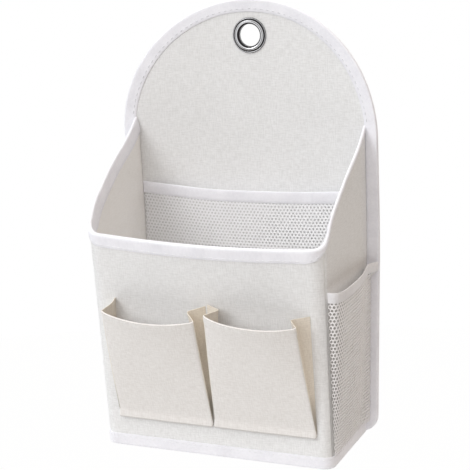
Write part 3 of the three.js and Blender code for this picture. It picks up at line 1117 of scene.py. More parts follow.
@dataclass
class BackPanel:
    """Arched back: two cloths over a board, bound round the edge, with an eyelet at the top."""

    wardrobe: Wardrobe
    half_width: float = 120.0
    height: float = 391.0
    corner: float = 16.0
    bow_depth: float = 13.3
    bow_start: float = 160.0
    bow_end: float = 314.0
    edge_inset: float = 1.1
    board_inset: float = 1.3
    cloth_rear: float = 0.8
    board_rear: float = 1.4
    lining_rear: float = 3.0
    face: float = 3.5
    flange_face: float = 4.1
    side_top: float = 281.0
    tape_width: float = 11.3
    tape_thickness: float = 0.8
    tape_step: float = 2.6
    fold_bulge: float = 1.1
    columns: int = 89
    rows: int = 120
    hole_radius: float = 10.7
    stitch_pitch: float = 5.6
    stitch_inset: float = 2.6

    def bow(self, x: Any, height: Any) -> Any:
        """How far the panel's sides come forward from the wall."""
        share = (np.abs(x) / self.half_width) ** 2
        return self.bow_depth * share * ease(height, self.bow_start, self.bow_end)

    def _places(self, inset: float) -> tuple[Grid, Grid]:
        """Places on the panel's plane, in columns from the bottom edge to the arch.

        Args:
            inset: Distance from the panel's edge.

        Returns:
            Grids of the sideways places and the heights.
        """
        half = self.half_width - inset
        corner = self.corner - inset
        spring = self.height - self.half_width
        angle = np.linspace(-math.pi / 2, math.pi / 2, self.columns)
        x = half * np.sin(angle)
        beyond = np.clip(np.abs(x) - (half - corner), 0, corner)
        low = inset + corner - np.sqrt(np.maximum(corner**2 - beyond**2, 0))
        high = spring + half * np.cos(angle)
        share = np.linspace(0, 1, self.rows)
        heights = low[:, None] + (high - low)[:, None] * share[None, :]
        return np.repeat(x[:, None], self.rows, axis=1), heights

    def _layer(
        self, node: str, slot: Slot, rear: float, front: float, inset: float, seed: int
    ) -> None:
        """Makes one layer, with the hole for the eyelet's barrel.

        Args:
            node: The CAD node that it replaces.
            slot: Its finish.
            rear: Depth of its wall side.
            front: Depth of its room side.
            inset: Distance from the panel's edge.
            seed: Number that picks its unevenness.
        """
        x, height = self._places(inset)
        uneven = 0.16 * ripple(x, height, seed, 60.0) if slot is not Slot.BOARD else 0.0
        bow = self.bow(x, height)
        face = np.stack([x, front + bow + uneven, height], axis=-1)
        back = np.stack([x, rear + bow + uneven, height], axis=-1)
        piece = closed_sheet(f"{node}_sheet", face, back, np.stack([x, height], axis=-1))
        self._bore(piece)
        self.wardrobe.dress(piece, slot, nodes=[node])

    def _bore(self, piece: bpy.types.Object) -> None:
        """Cuts the eyelet's hole through a layer.

        Args:
            piece: The layer.
        """
        clear_selection()
        bpy.ops.mesh.primitive_cylinder_add(
            vertices=72,
            radius=self.hole_radius * MM,
            depth=0.04,
            location=(0, 0, 0),
            rotation=(math.pi / 2, 0, 0),
        )
        cutter = bpy.context.object
        make_active(piece)
        cut = piece.modifiers.new("bore", "BOOLEAN")
        cut.operation = "DIFFERENCE"
        cut.solver = "EXACT"
        cut.object = cutter
        bpy.ops.object.modifier_apply(modifier=cut.name)
        bpy.data.objects.remove(cutter)

    def _outline(self, step: float) -> tuple[Grid, Grid]:
        """Points round the panel's edge and the inward direction at each.

        Args:
            step: Distance between points.

        Returns:
            The points and the directions, as (x, height).
        """
        half, corner = self.half_width, self.corner
        spring = self.height - half
        points: list[tuple[float, float]] = []
        inward: list[tuple[float, float]] = []

        def line(x0: float, h0: float, x1: float, h1: float, nx: float, nh: float) -> None:
            """Adds a straight stretch.

            Args:
                x0: Sideways place of its start.
                h0: Height of its start.
                x1: Sideways place of its end.
                h1: Height of its end.
                nx: Sideways part of its inward direction.
                nh: Upward part of its inward direction.
            """
            count = max(2, int(math.hypot(x1 - x0, h1 - h0) / step))
            for share in np.arange(count) / count:
                points.append((x0 + (x1 - x0) * share, h0 + (h1 - h0) * share))
                inward.append((nx, nh))

        def turn(cx: float, ch: float, radius: float, start: float, end: float) -> None:
            """Adds an arc.

            Args:
                cx: Sideways place of its centre.
                ch: Height of its centre.
                radius: Its radius.
                start: Its start angle.
                end: Its end angle.
            """
            count = max(6, int(abs(end - start) * radius / step))
            for share in np.arange(count) / count:
                angle = start + (end - start) * share
                points.append((cx + radius * math.cos(angle), ch + radius * math.sin(angle)))
                inward.append((-math.cos(angle), -math.sin(angle)))

        line(-half + corner, 0, half - corner, 0, 0, 1)
        turn(half - corner, corner, corner, -math.pi / 2, 0)
        line(half, corner, half, spring, -1, 0)
        turn(0, spring, half, 0, math.pi)
        line(-half, spring, -half, corner, 1, 0)
        turn(-half + corner, corner, corner, math.pi, 1.5 * math.pi)
        return np.array(points), np.array(inward)

    def _room_face(self, height: Any) -> Any:
        """Depth of what the binding's room side lies on."""
        above = ease(height, self.side_top - 4, self.side_top + 8)
        return self.face + (self.flange_face - self.face) * (1 - above)

    def _binding(self) -> None:
        """Folds the tape round the panel's edge and sews it."""
        points, inward = self._outline(self.tape_step)
        width, half = self.tape_width, self.tape_thickness / 2
        legs = (width, width - 0.5, width * 0.78, width * 0.55, width * 0.3, 1.5)
        room = self._room_face(points[:, 1]) + half
        wall = np.full_like(room, half)
        lines = fold_lines(legs, room, wall, half, self.fold_bulge, 9)
        for index in range(len(legs)):
            lines[index].offset = room + 0.036 * math.sin(index * 1.3)
        lines[0].offset = lines[0].offset - 0.25
        run = run_lengths(points)
        tape = FoldedTape(run)
        for index, line in enumerate(lines):
            place = points + inward * line.leg
            uneven = 0.1 * ripple(run, index * 2.0, 5, 34.0)
            level = line.offset + self.bow(place[:, 0], place[:, 1]) + uneven
            centre = np.stack([place[:, 0], level, place[:, 1]], axis=-1)
            ahead, beyond = np.full_like(run, line.out), -inward * line.beyond
            tape.add(centre, np.stack([beyond[:, 0], ahead, beyond[:, 1]], axis=-1))
        piece = tape.build("back_binding_tape", self.tape_thickness, closed_loop=True)
        self.wardrobe.dress(piece, Slot.BINDING, nodes=["back_binding"])
        place = points + inward * (width - self.stitch_inset)
        bow = self.bow(place[:, 0], place[:, 1])
        for name, surface, side in (("room", room + half, 1.0), ("wall", wall - half, -1.0)):
            path = np.stack([place[:, 0], surface + bow, place[:, 1]], axis=-1)
            seam = np.concatenate([path, path[:1]])
            if side > 0:
                start = int(np.argmin(place[:, 1]))
                turned = np.roll(path, -start, axis=0)
                seam = turned[turned[:, 2] > self.side_top + 4.0]
            outward = np.tile([0.0, side, 0.0], (len(seam), 1))
            row = stitch_row(f"back_stitches_{name}", seam, outward, self.stitch_pitch)
            self.wardrobe.dress(row, Slot.BINDING, material=self.wardrobe.thread)

    def _eyelet(self) -> None:
        """Turns the eyelet, with its rolled rings, and the washer behind."""
        front = self.face
        eyelet = turned_ring(
            "eyelet_ring",
            [
                (9.8, 0.35),
                (10.1, 0.05),
                (12.0, 0.02),
                (12.2, 0.2),
                (12.0, 0.35),
                (10.4, 0.4),
                (10.4, front + 0.15),
                (15.2, front + 0.15),
                (15.55, front + 0.3),
                (15.65, front + 0.62),
                (15.5, front + 0.95),
                (15.1, front + 1.15),
                (14.8, front + 1.1),
                (14.5, front + 0.95),
                (14.2, front + 1.05),
                (13.8, front + 1.55),
                (13.3, front + 2.0),
                (12.7, front + 2.28),
                (12.2, front + 2.4),
                (11.6, front + 2.36),
                (11.1, front + 2.15),
                (10.6, front + 1.8),
                (10.2, front + 1.3),
                (9.9, front + 0.7),
                (9.8, front),
            ],
        )
        self.wardrobe.dress(eyelet, Slot.METAL, nodes=["eyelet"], degrees=60)
        washer = turned_ring(
            "eyelet_back_washer",
            [
                (10.7, 0.36),
                (11.5, 0.3),
                (12.4, 0.36),
                (13.3, 0.3),
                (14.2, 0.34),
                (14.55, 0.45),
                (14.6, 0.62),
                (14.5, 0.78),
                (10.7, 0.78),
            ],
        )
        self.wardrobe.dress(washer, Slot.METAL, nodes=["eyelet_washer"], degrees=60)

    def build(self) -> None:
        """Makes the whole back."""
        cloth_inset = self.edge_inset
        self._layer(
            "back_board", Slot.BOARD, self.board_rear, self.lining_rear, self.board_inset, 0
        )
        self._layer("back_cloth", Slot.LINEN, self.cloth_rear, self.board_rear, cloth_inset, 11)
        self._layer("back_lining", Slot.LINEN, self.lining_rear, self.face, cloth_inset, 12)
        self._binding()
        self._eyelet()


# The bag's wall


@dataclass(frozen=True)
class WallLayer:
    """One layer of the bag's wall.

    Attributes:
        word: Its word in the names of nodes and pieces.
        slot: Its finish.
        inset: How far its outer face lies inside the wall's.
        thickness: Its own thickness.
        bottom: Height of its lower edge.
        seed: Number that picks its unevenness, before the panel's own is added.
    """

    word: str
    slot: Slot
    inset: float
    thickness: float
    bottom: float
    seed: int


@dataclass
class BagWall:
    """The wall of the bag: left side, front and right side, in one run of stations 0 to 5.

    Stations 0 to 1 are the left side, 1 to 2 the left corner, 2 to 3 the front, 3 to 4 the
    right corner and 4 to 5 the right side.
    """

    wardrobe: Wardrobe
    back: BackPanel
    back_half: float = 108.7
    front_half: float = 105.4
    depth: float = 102.6
    lean: float = 0.1395
    corner_low: float = 10.0
    corner_high: float = 16.0
    rear_depth: float = 12.0
    corner_depth: float = 115.5
    side_bulge: float = 0.8
    left_reach: float = 2.4
    front_bulge: float = 6.5
    cloth: float = 0.6
    board: float = 1.4
    lining: float = 0.5
    gap: float = 0.3
    tape_width: float = 11.3
    side_leg: float = 2.2
    tape_thickness: float = 0.8
    tape_clear: float = 0.1
    tape_tuck: float = 0.2
    rim_fold_bulge: float = 1.5
    base_fold_bulge: float = 1.3
    seam_station: float = 1.3
    pinch_reach: float = 9.0
    stitch_pitch: float = 5.6
    front_rim: float = 196.7
    front_rim_rise: float = 2.0
    front_rim_tilt: float = 0.9
    plan_centre: float = 55.0
    plan_rings: tuple[float, ...] = (1.0, 0.985, 0.93, 0.8, 0.6, 0.4, 0.2, 0.03)
    span_lengths: tuple[float, ...] = (112.0, 20.0, 178.0, 20.0, 112.0)
    corner_fall: tuple[tuple[float, float], ...] = (
        (0.0, 0.0),
        (0.2, 0.5),
        (0.4, 0.8),
        (0.7, 0.96),
        (1.0, 1.0),
    )
    side_rim: tuple[tuple[float, float], ...] = (
        (0.0, 293.0),
        (13.0, 283.5),
        (24.0, 274.2),
        (38.0, 265.0),
        (56.0, 255.2),
        (70.0, 247.0),
        (88.0, 235.0),
        (101.0, 226.0),
        (110.0, 217.5),
        (115.5, 210.5),
    )

    def __post_init__(self) -> None:
        """Adds up the insets of the layers."""
        self.board_inset = self.cloth + self.gap
        self.lining_inset = self.board_inset + self.board + self.gap
        self.inside = self.lining_inset + self.lining

    def front_depth(self, height: Any) -> Any:
        """Depth of the flat front at a height."""
        return self.depth + self.lean * np.asarray(height, float)

    def front_swell(self, x: Any, height: Any) -> Any:
        """How far the front bulges toward the room.

        Args:
            x: Sideways place.
            height: Height above the bottom.

        Returns:
            The bulge at each place.
        """
        share = np.clip(np.abs(np.asarray(x, float)) / 90.0, 0, 1)
        form = 0.7 * (1 - share**2) + 0.3 * (0.5 + 0.5 * np.cos(math.pi * share))
        rise = np.clip(np.asarray(height, float) / 200.0, 0, 1.1) ** 1.6
        return self.front_bulge * form * rise

    def at(self, station: Any, height: Any) -> Grid:
        """The outer face of the wall.

        Args:
            station: Place along the wall's run, 0 to 5.
            height: Height above the bottom in millimetres.

        Returns:
            Points (x, depth, height).
        """
        station, height = np.broadcast_arrays(
            np.asarray(station, float), np.asarray(height, float)
        )
        side = np.where(station < 2.5, -1.0, 1.0)
        s = np.minimum(station, 5.0 - station)
        front = self.front_depth(height)
        radius = self.corner_low + (self.corner_high - self.corner_low) * ease(height, 50, 195)
        seam = self.back.face + self.gap + self.back.bow(self.back_half, height)
        t = np.clip(s, 0, 1)
        swell = self.side_bulge * 4 * t * (1 - t) * ease(height, 0, 200)
        half = self.front_half + self.left_reach * ease(height, 60, 205) * (side < 0)
        x_side = self.back_half + (half - self.back_half) * t + swell
        d_side = seam + (front - radius - seam) * t
        angle = np.clip(s - 1, 0, 1) * math.pi / 2
        x_turn = half - radius + radius * np.cos(angle)
        d_turn = front - radius + radius * np.sin(angle)
        u = np.clip(s - 2, 0, 0.5)
        x_front = (half - radius) * (1 - 2 * u)
        x = np.where(s <= 1, x_side, np.where(s <= 2, x_turn, x_front))
        d_front = front + self.front_swell(x_front, height)
        depth = np.where(s <= 1, d_side, np.where(s <= 2, d_turn, d_front))
        return np.stack([side * x, depth, height], axis=-1)

    def normal(self, station: Any, height: Any) -> Grid:
        """Outward unit normals of the wall.

        Args:
            station: Place along the wall's run.
            height: Height above the bottom.

        Returns:
            A direction for each place.
        """
        station, height = np.broadcast_arrays(
            np.asarray(station, float), np.asarray(height, float)
        )
        step = 0.02
        low, high = np.clip(station - step, 0, 5), np.clip(station + step, 0, 5)
        along = self.at(high, height) - self.at(low, height)
        upward = self.at(station, height + 1) - self.at(station, height - 1)
        return unit(-np.cross(along, upward))

    def rim(self, station: Any) -> Any:
        """Height of the rim's top along the run.

        Args:
            station: Place along the wall's run.

        Returns:
            The height at each place.
        """
        station = np.asarray(station, float)
        s = np.minimum(station, 5.0 - station)
        depth = np.clip(s, 0, 1) * (self.corner_depth - self.rear_depth) + self.rear_depth
        side = curve(depth, self.side_rim)
        x = np.where(station < 2.5, -1.0, 1.0) * (1 - 2 * np.clip(s - 2, 0, 0.5))
        front = self.front_rim + self.front_rim_rise * x**2 - self.front_rim_tilt * x
        start = self.side_rim[-1][1]
        corner = start + (front - start) * curve(np.clip(s - 1, 0, 1), self.corner_fall)
        return np.where(s <= 1, side, np.where(s <= 2, corner, front))

    def give(self, station: Any, down: Any) -> Any:
        """How far the lining comes outward near the rim of the sides, where the board ends.

        Args:
            station: Place along the wall's run.
            down: Distance below the rim.

        Returns:
            The outward shift at each place.
        """
        s = np.minimum(np.asarray(station, float), 5.0 - np.asarray(station, float))
        share = (1 - ease(s, 0.95, 1.6)) * (1 - ease(down, 0.0, self.pinch_reach))
        return (self.inside - self.cloth - self.lining) * share

    def outer_leg(self, station: Any) -> Any:
        """Width of the rim tape's outer leg: full along the front, a narrow edge on the sides."""
        s = np.minimum(np.asarray(station, float), 5.0 - np.asarray(station, float))
        return self.side_leg + (self.tape_width - self.side_leg) * ease(s, 0.92, 2.05)

    def stations(self, start: float, end: float) -> Grid:
        """Column stations between two places, about 2.5 mm apart, closer at the ends.

        Args:
            start: First station.
            end: Last station.

        Returns:
            The stations in order.
        """
        marks = np.linspace(0, 5, 2001)
        pace = np.array([self.span_lengths[min(int(mark), 4)] for mark in marks])
        run = np.concatenate([[0], np.cumsum((pace[1:] + pace[:-1]) / 2 * np.diff(marks))])
        first, last = np.interp([start, end], marks, run)
        count = max(8, int((last - first) / 2.6))
        inner = np.linspace(first + 2.4, last - 2.4, count)
        edges = np.array([0.0, 0.5, 1.1, 1.7])
        places = np.concatenate([first + edges, inner, (last - edges)[::-1]])
        return np.interp(places, run, marks)

    @staticmethod
    def _cloth_places(grid: Grid) -> Grid:
        """Cloth places: run along the wall at mid height, and height up the cloth.

        Args:
            grid: Points of the wall, along and up.

        Returns:
            Pairs of run and height.
        """
        middle = grid.shape[1] // 2
        run = arc_lengths(grid[:, middle : middle + 1], 0)
        return np.stack([np.repeat(run, grid.shape[1], axis=1), arc_lengths(grid, 1)], axis=-1)

    def _panel(self, part: str, layer: WallLayer, start: float, end: float, number: int) -> None:
        """Makes one layer of one panel of the wall.

        Args:
            part: The panel's word in the names of nodes and pieces.
            layer: The layer.
            start: First station.
            end: Last station.
            number: The panel's number, which is added to the layer's seed.
        """
        stations = self.stations(start, end)
        bottom = layer.bottom
        top = self.rim(stations) - self.back.edge_inset
        if layer.slot is Slot.BOARD:
            s = np.minimum(stations, 5.0 - stations)
            top = top - (self.pinch_reach - 1.5) * (1 - ease(s, 0.95, 1.6))
        share = np.concatenate([np.linspace(0, 0.93, 56), np.linspace(0.94, 1, 10)])
        height = bottom + (top - bottom)[:, None] * share[None, :]
        station = np.repeat(stations[:, None], len(share), axis=1)
        base = self.at(station, height)
        normal = self.normal(station, height)
        uv = self._cloth_places(base)
        lift = 0.0
        if layer.slot is not Slot.BOARD:
            run = uv[..., 0]
            edge = np.minimum(run, run[-1:, :] - run)
            tuck = 0.8 * np.clip(1 - edge / 1.6, 0, 1) ** 2 if layer.inset == 0 else 0.0
            calm = ease(edge, 2, 25) * ease(height, bottom, bottom + 25)
            lift = -tuck + 0.3 * ripple(run, height, layer.seed + number, 55.0) * calm
            lift = np.minimum(lift, 0.25)[..., None]
        face = base - normal * layer.inset + normal * lift
        if layer.slot is Slot.LINING:
            down = (top + self.back.edge_inset)[:, None] - height
            face = face + normal * self.give(station, down)[..., None]
        node = f"{part}_{layer.word}"
        piece = closed_sheet(f"{node}_panel", face, face - normal * layer.thickness, uv)
        # The right side's cloth takes the linen copy with the net's painted shadow.
        linen = self.wardrobe.net_shadow_linen if node == "right_side_cloth" else None
        self.wardrobe.dress(piece, layer.slot, nodes=[node], material=linen)
        if layer.slot is not Slot.BOARD:
            tall = float(height.max() - height.min()) * MM
            area = float(np.trapz(top - bottom, uv[:, 0, 0])) * MM * MM

    def _rim_tape(self) -> None:
        """Folds the tape over the rim and sews it."""
        stations = self.stations(0.0, 5.0)
        top = self.rim(stations)
        run = run_lengths(self.at(stations, top))
        slope = np.clip(np.gradient(top, run), -0.85, 0.85)
        stretch = 1 / np.sqrt(1 - slope**2)
        stretch = np.convolve(np.pad(stretch, 4, mode="edge"), np.ones(9) / 9, mode="valid")
        half = self.tape_thickness / 2
        outer = half + self.tape_clear
        inner = -(self.inside + half + self.tape_clear)
        legs = (self.tape_width, self.tape_width - 0.6, 9.0, 6.6, 4.4, 2.6)
        leg_end = 1.5
        reach_down = self.outer_leg(stations)
        lines = fold_lines(legs, outer, inner, half, self.rim_fold_bulge, 11)
        lines[0].offset -= self.tape_tuck
        lines[-1].offset += self.tape_tuck
        narrowed = (reach_down - leg_end) / (self.tape_width - leg_end)
        tape = FoldedTape(run)
        for line in lines:
            down = line.leg
            if line.out == 1.0:
                down = leg_end + (down - leg_end) * narrowed
            height = top - down * stretch
            surface = self.at(stations, height)
            outward = self.normal(stations, height)
            upward = self.at(stations, height + 1) - surface
            upward /= np.linalg.norm(upward, axis=1, keepdims=True)
            wave = 0.22 * ripple(run, down * 2.5, 21, 30.0) if line.out > 0.5 else 0.0
            pull = line.offset + wave + self.give(stations, down) * (1 - line.out) / 2
            normal = outward * line.out + upward * line.beyond
            tape.add(surface + outward * pull[:, None], normal)
        piece = tape.build("rim_binding_tape", self.tape_thickness)
        self.wardrobe.dress(piece, Slot.BINDING, nodes=["rim_binding"])
        outer_seam, inner_seam = 1.9, 2.0
        wide = reach_down > 2.0 * outer_seam
        outer_width = np.maximum(reach_down, 2.0 * outer_seam)
        for name, offset, down, side in (
            ("outer", outer + half, outer_width - outer_seam, 1.0),
            ("inner", inner - half, self.tape_width - inner_seam, -1.0),
        ):
            height = top - down * stretch
            outward = self.normal(stations, height)
            path = self.at(stations, height) + outward * offset
            if side > 0:
                path, outward = path[wide], outward[wide]
            row = stitch_row(f"rim_stitches_{name}", path, outward * side, self.stitch_pitch)
            self.wardrobe.dress(row, Slot.BINDING, material=self.wardrobe.pale_thread)

    def _base_tape(self) -> None:
        """Folds the tape up under the bottom edge and sews it."""
        stations = self.stations(0.0, 5.0)
        half = self.tape_thickness / 2
        cloth_depth, seam = 1.5, 2.2
        outer = half + self.tape_clear
        inner = -(cloth_depth + half + self.tape_clear)
        legs = (self.tape_width, self.tape_width - 0.6, 9.0, 6.5, 4.0, 2.4)
        lines = fold_lines(legs, outer, inner, half, self.base_fold_bulge, 9)
        lines[0].offset -= self.tape_tuck
        level = np.zeros(len(stations))
        run = run_lengths(self.at(stations, level))
        tape = FoldedTape(run)
        for line in lines:
            height = level + line.leg
            outward = self.normal(stations, height)
            wave = 0.15 * ripple(run, line.leg * 2.5, 31, 34.0) if line.out > 0.5 else 0.0
            pull = level + (line.offset + wave)
            centre = self.at(stations, height) + outward * pull[:, None]
            tape.add(centre, outward * line.out - np.array([0.0, 0.0, line.beyond]))
        piece = tape.build("base_binding_tape", self.tape_thickness)
        self.wardrobe.dress(piece, Slot.BINDING, nodes=["base_binding"])
        height = level + (self.tape_width - seam)
        outward = self.normal(stations, height)
        path = self.at(stations, height) + outward * (outer + half)
        row = stitch_row("base_stitches", path, outward, self.stitch_pitch)
        self.wardrobe.dress(row, Slot.BINDING, material=self.wardrobe.pale_thread)

    def _ring(self, inset: float, height: float, rear: float) -> Grid:
        """The wall's plan at one height, closed along the back panel.

        Args:
            inset: Distance inside the wall's outer face.
            height: Height above the bottom.
            rear: Depth of the closing line.

        Returns:
            Points round the plan.
        """
        count, closing_count = 120, 40
        stations = np.linspace(0, 5, count)
        heights = np.full(count, height)
        points = self.at(stations, heights) - self.normal(stations, heights) * inset
        points[:, 2] = height
        points[:, 1] = np.maximum(points[:, 1], rear)
        closing = np.zeros((closing_count, 3))
        closing[:, 0] = np.linspace(points[-1, 0], points[0, 0], closing_count)
        closing[:, 1:] = rear, height
        return np.concatenate([points, closing])

    def _plate(
        self, name: str, slot: Slot, inset: float, bottom: float, top: float, rear: float
    ) -> bpy.types.Object:
        """Makes a level plate that fills the wall's plan.

        Args:
            name: The piece's name.
            slot: Its finish; a lining is uneven.
            inset: Distance inside the wall's outer face.
            bottom: Height of its lower face.
            top: Height of its upper face.
            rear: Depth of its rear edge.

        Returns:
            The plate.
        """
        shares = np.array(self.plan_rings)
        layers = []
        for height in (top, bottom):
            ring = self._ring(inset, height, rear)
            centre = np.array([0.0, self.plan_centre, height])
            grid = centre + (ring - centre)[:, None, :] * shares[None, :, None]
            if slot is Slot.LINING:
                uneven = 0.25 * ripple(grid[..., 0], grid[..., 1], 41, 45.0)
                grid[..., 2] += uneven * (1 - shares[None, :] ** 8)
            layers.append(grid)
        uv = layers[0][..., :2].copy()
        piece = closed_sheet(name, layers[0], layers[1], uv, closed_loop=True)
        self._close_centre(piece)
        return piece

    def _close_centre(self, piece: bpy.types.Object) -> None:
        """Fills the small hole left in the middle of a plate.

        Args:
            piece: The plate.
        """
        work = bmesh.new()
        work.from_mesh(piece.data)
        near = []
        for face in work.faces:
            middle = face.calc_center_median()
            steep = abs(face.normal.z) < 0.5
            if steep and abs(middle.x) < 0.01 and abs(middle.y + self.plan_centre * MM) < 0.01:
                near.append(face)
        bmesh.ops.delete(work, geom=near, context="FACES_ONLY")
        bmesh.ops.holes_fill(work, edges=[e for e in work.edges if e.is_boundary], sides=0)
        bmesh.ops.recalc_face_normals(work, faces=work.faces)
        work.to_mesh(piece.data)
        work.free()

    def _base(self) -> None:
        """Makes the base cloth with its turned-down edges, its board and its lining."""
        rear = self.back.face + self.gap
        inset = self.cloth + self.gap
        low, floor = self.back.edge_inset, self.tape_width + self.gap
        skirts = [self._ring(inset, height, rear) for height in (low, 4.0, 8.0, floor - 1.0)]
        rim_ring = self._ring(inset + 0.5, floor - 0.1, rear + 0.4)
        centre = np.array([0.0, self.plan_centre, floor])
        rings = skirts + [centre + (rim_ring - centre) * share for share in self.plan_rings]
        grid = np.stack(rings, axis=1)
        grid[:, len(skirts) :, 2] = floor
        normal = grid_normals(np.concatenate([grid, grid[:1]]))[:-1]
        flip = np.sign(normal[len(normal) // 3, -2, 2]) or 1.0
        inner = grid + normal * flip * self.cloth
        piece = closed_sheet("base_cloth_tray", grid, inner, grid[..., :2].copy(), True)
        self._close_centre(piece)
        self.wardrobe.dress(piece, Slot.LINEN, nodes=["base_cloth"])
        board_bottom = floor + self.cloth
        board_top = board_bottom + 1.5
        lining_top = board_bottom + 2.0
        plate_inset, plate_rear = self.inside + self.gap, rear + self.gap
        board = self._plate(
            "base_board_plate", Slot.BOARD, plate_inset, board_bottom, board_top, plate_rear
        )
        self.wardrobe.dress(board, Slot.BOARD, nodes=["base_board"])
        lining = self._plate(
            "base_lining_plate", Slot.LINING, plate_inset, board_top, lining_top, plate_rear
        )
        self.wardrobe.dress(lining, Slot.LINING, nodes=["base_lining"])

    def build(self) -> None:
        """Makes the wall, its bindings and the base."""
        seam = self.seam_station
        low, floor = self.back.edge_inset, self.tape_width + self.gap + self.cloth
        layers = (
            WallLayer("cloth", Slot.LINEN, 0.0, self.cloth, low, 50),
            WallLayer("board", Slot.BOARD, self.board_inset, self.board, floor, 0),
            WallLayer("lining", Slot.LINING, self.lining_inset, self.lining, floor, 60),
        )
        marks = (0.0, seam, 5 - seam, 5.0)
        parts = zip(("left_side", "front", "right_side"), marks, marks[1:])
        for number, (part, start, end) in enumerate(parts):
            for layer in layers:
                self._panel(part, layer, start, end, number)
        self._rim_tape()
        self._base_tape()
        self._base()


# The mesh pockets


@dataclass
class InnerNet:
    """Net pocket sewn across the inside of the back, slack in the middle, with a taped hem."""

    wardrobe: Wardrobe
    wall: BagWall
    bottom: float = 96.0
    top: float = 221.0
    hem: float = 10.8
    hem_thickness: float = 1.5
    pitch: float = 3.3
    opening: float = 0.56
    yarn: float = 0.4
    slack: float = 10.0
    side_gap: float = 0.6
    stand_off: float = 0.9
    yarn_share: float = 0.8
    top_line: tuple[tuple[float, float], ...] = (
        (-105.0, 223.6),
        (-69.0, 221.9),
        (-30.0, 220.3),
        (12.0, 220.8),
        (50.0, 222.0),
        (82.0, 223.6),
        (105.0, 224.5),
    )

    def half(self) -> float:
        """Half of the pocket's width between the side linings."""
        return self.wall.back_half - self.wall.inside - self.side_gap

    def place(self, u: Grid, v: Grid) -> Grid:
        """Turns a place on the flat pocket into a point.

        Args:
            u: Running place from the pocket's left edge.
            v: Place up the pocket, from its foot.

        Returns:
            Points (x, depth, height).
        """
        half = self.half()
        x = -half + np.asarray(u, float)
        share = np.maximum(np.asarray(v, float) / (self.top - self.bottom), 0.0)
        top = curve(x, self.top_line)
        height = self.bottom + (top - self.bottom) * share
        behind = self.wall.back.face + self.wall.back.bow(x, height)
        form = np.clip(1 - (np.abs(x) / half) ** 2.4, 0, 1)
        depth = behind + self.stand_off + self.slack * form * share**1.5
        depth = depth + 0.5 * ripple(x, height, 71, 70.0) * form * share
        return np.stack([x, depth, height], axis=-1)

    def build(self) -> None:
        """Makes the net and its hem."""
        width = 2 * self.half()
        tall = self.top - self.bottom
        net_share = 1 - (self.hem - self.hem_thickness) / tall
        net = hexagon_net(
            "inner_net_mesh",
            width,
            tall * net_share,
            self.pitch,
            self.place,
            opening=self.opening,
            thickness=self.yarn,
        )
        self.wardrobe.dress(net, Slot.NET, nodes=["inner_net"])
        runs = np.linspace(0, width, 90)
        hem = hem_tape(
            "inner_net_hem_tape", self.place, runs, tall, self.hem, self.hem_thickness
        )
        self.wardrobe.dress(hem, Slot.BINDING, nodes=["inner_net_hem"])
        flat = (width * MM, tall * MM)
        yarn_area = self.yarn_share * flat[0] * flat[1]


def hem_tape(
    name: str,
    place: Callable[[Grid, Grid], Grid],
    runs: Grid,
    top: float,
    width: float,
    thickness: float,
) -> bpy.types.Object:
    """Makes a flat folded hem along the top of a net.

    Args:
        name: The piece's name.
        place: Turns a place on the flat net into a point.
        runs: Places along the hem.
        top: The hem's top edge on the flat net.
        width: The hem's width.
        thickness: Thickness of the folded tape.

    Returns:
        The hem.
    """
    levels = top - np.array([width, width - 0.4, width * 0.7, width * 0.4, 0.9, 0.35, 0.0])
    swell = np.array([0.55, 0.85, 1.0, 1.0, 0.95, 0.7, 0.35])
    u, v = np.meshgrid(runs, levels, indexing="ij")
    centre = place(u, v)
    normal = grid_normals(centre)
    half = normal * (thickness / 2) * swell[None, :, None]
    uv = np.stack([u, v], axis=-1)
    return closed_sheet(name, centre + half, centre - half, uv)


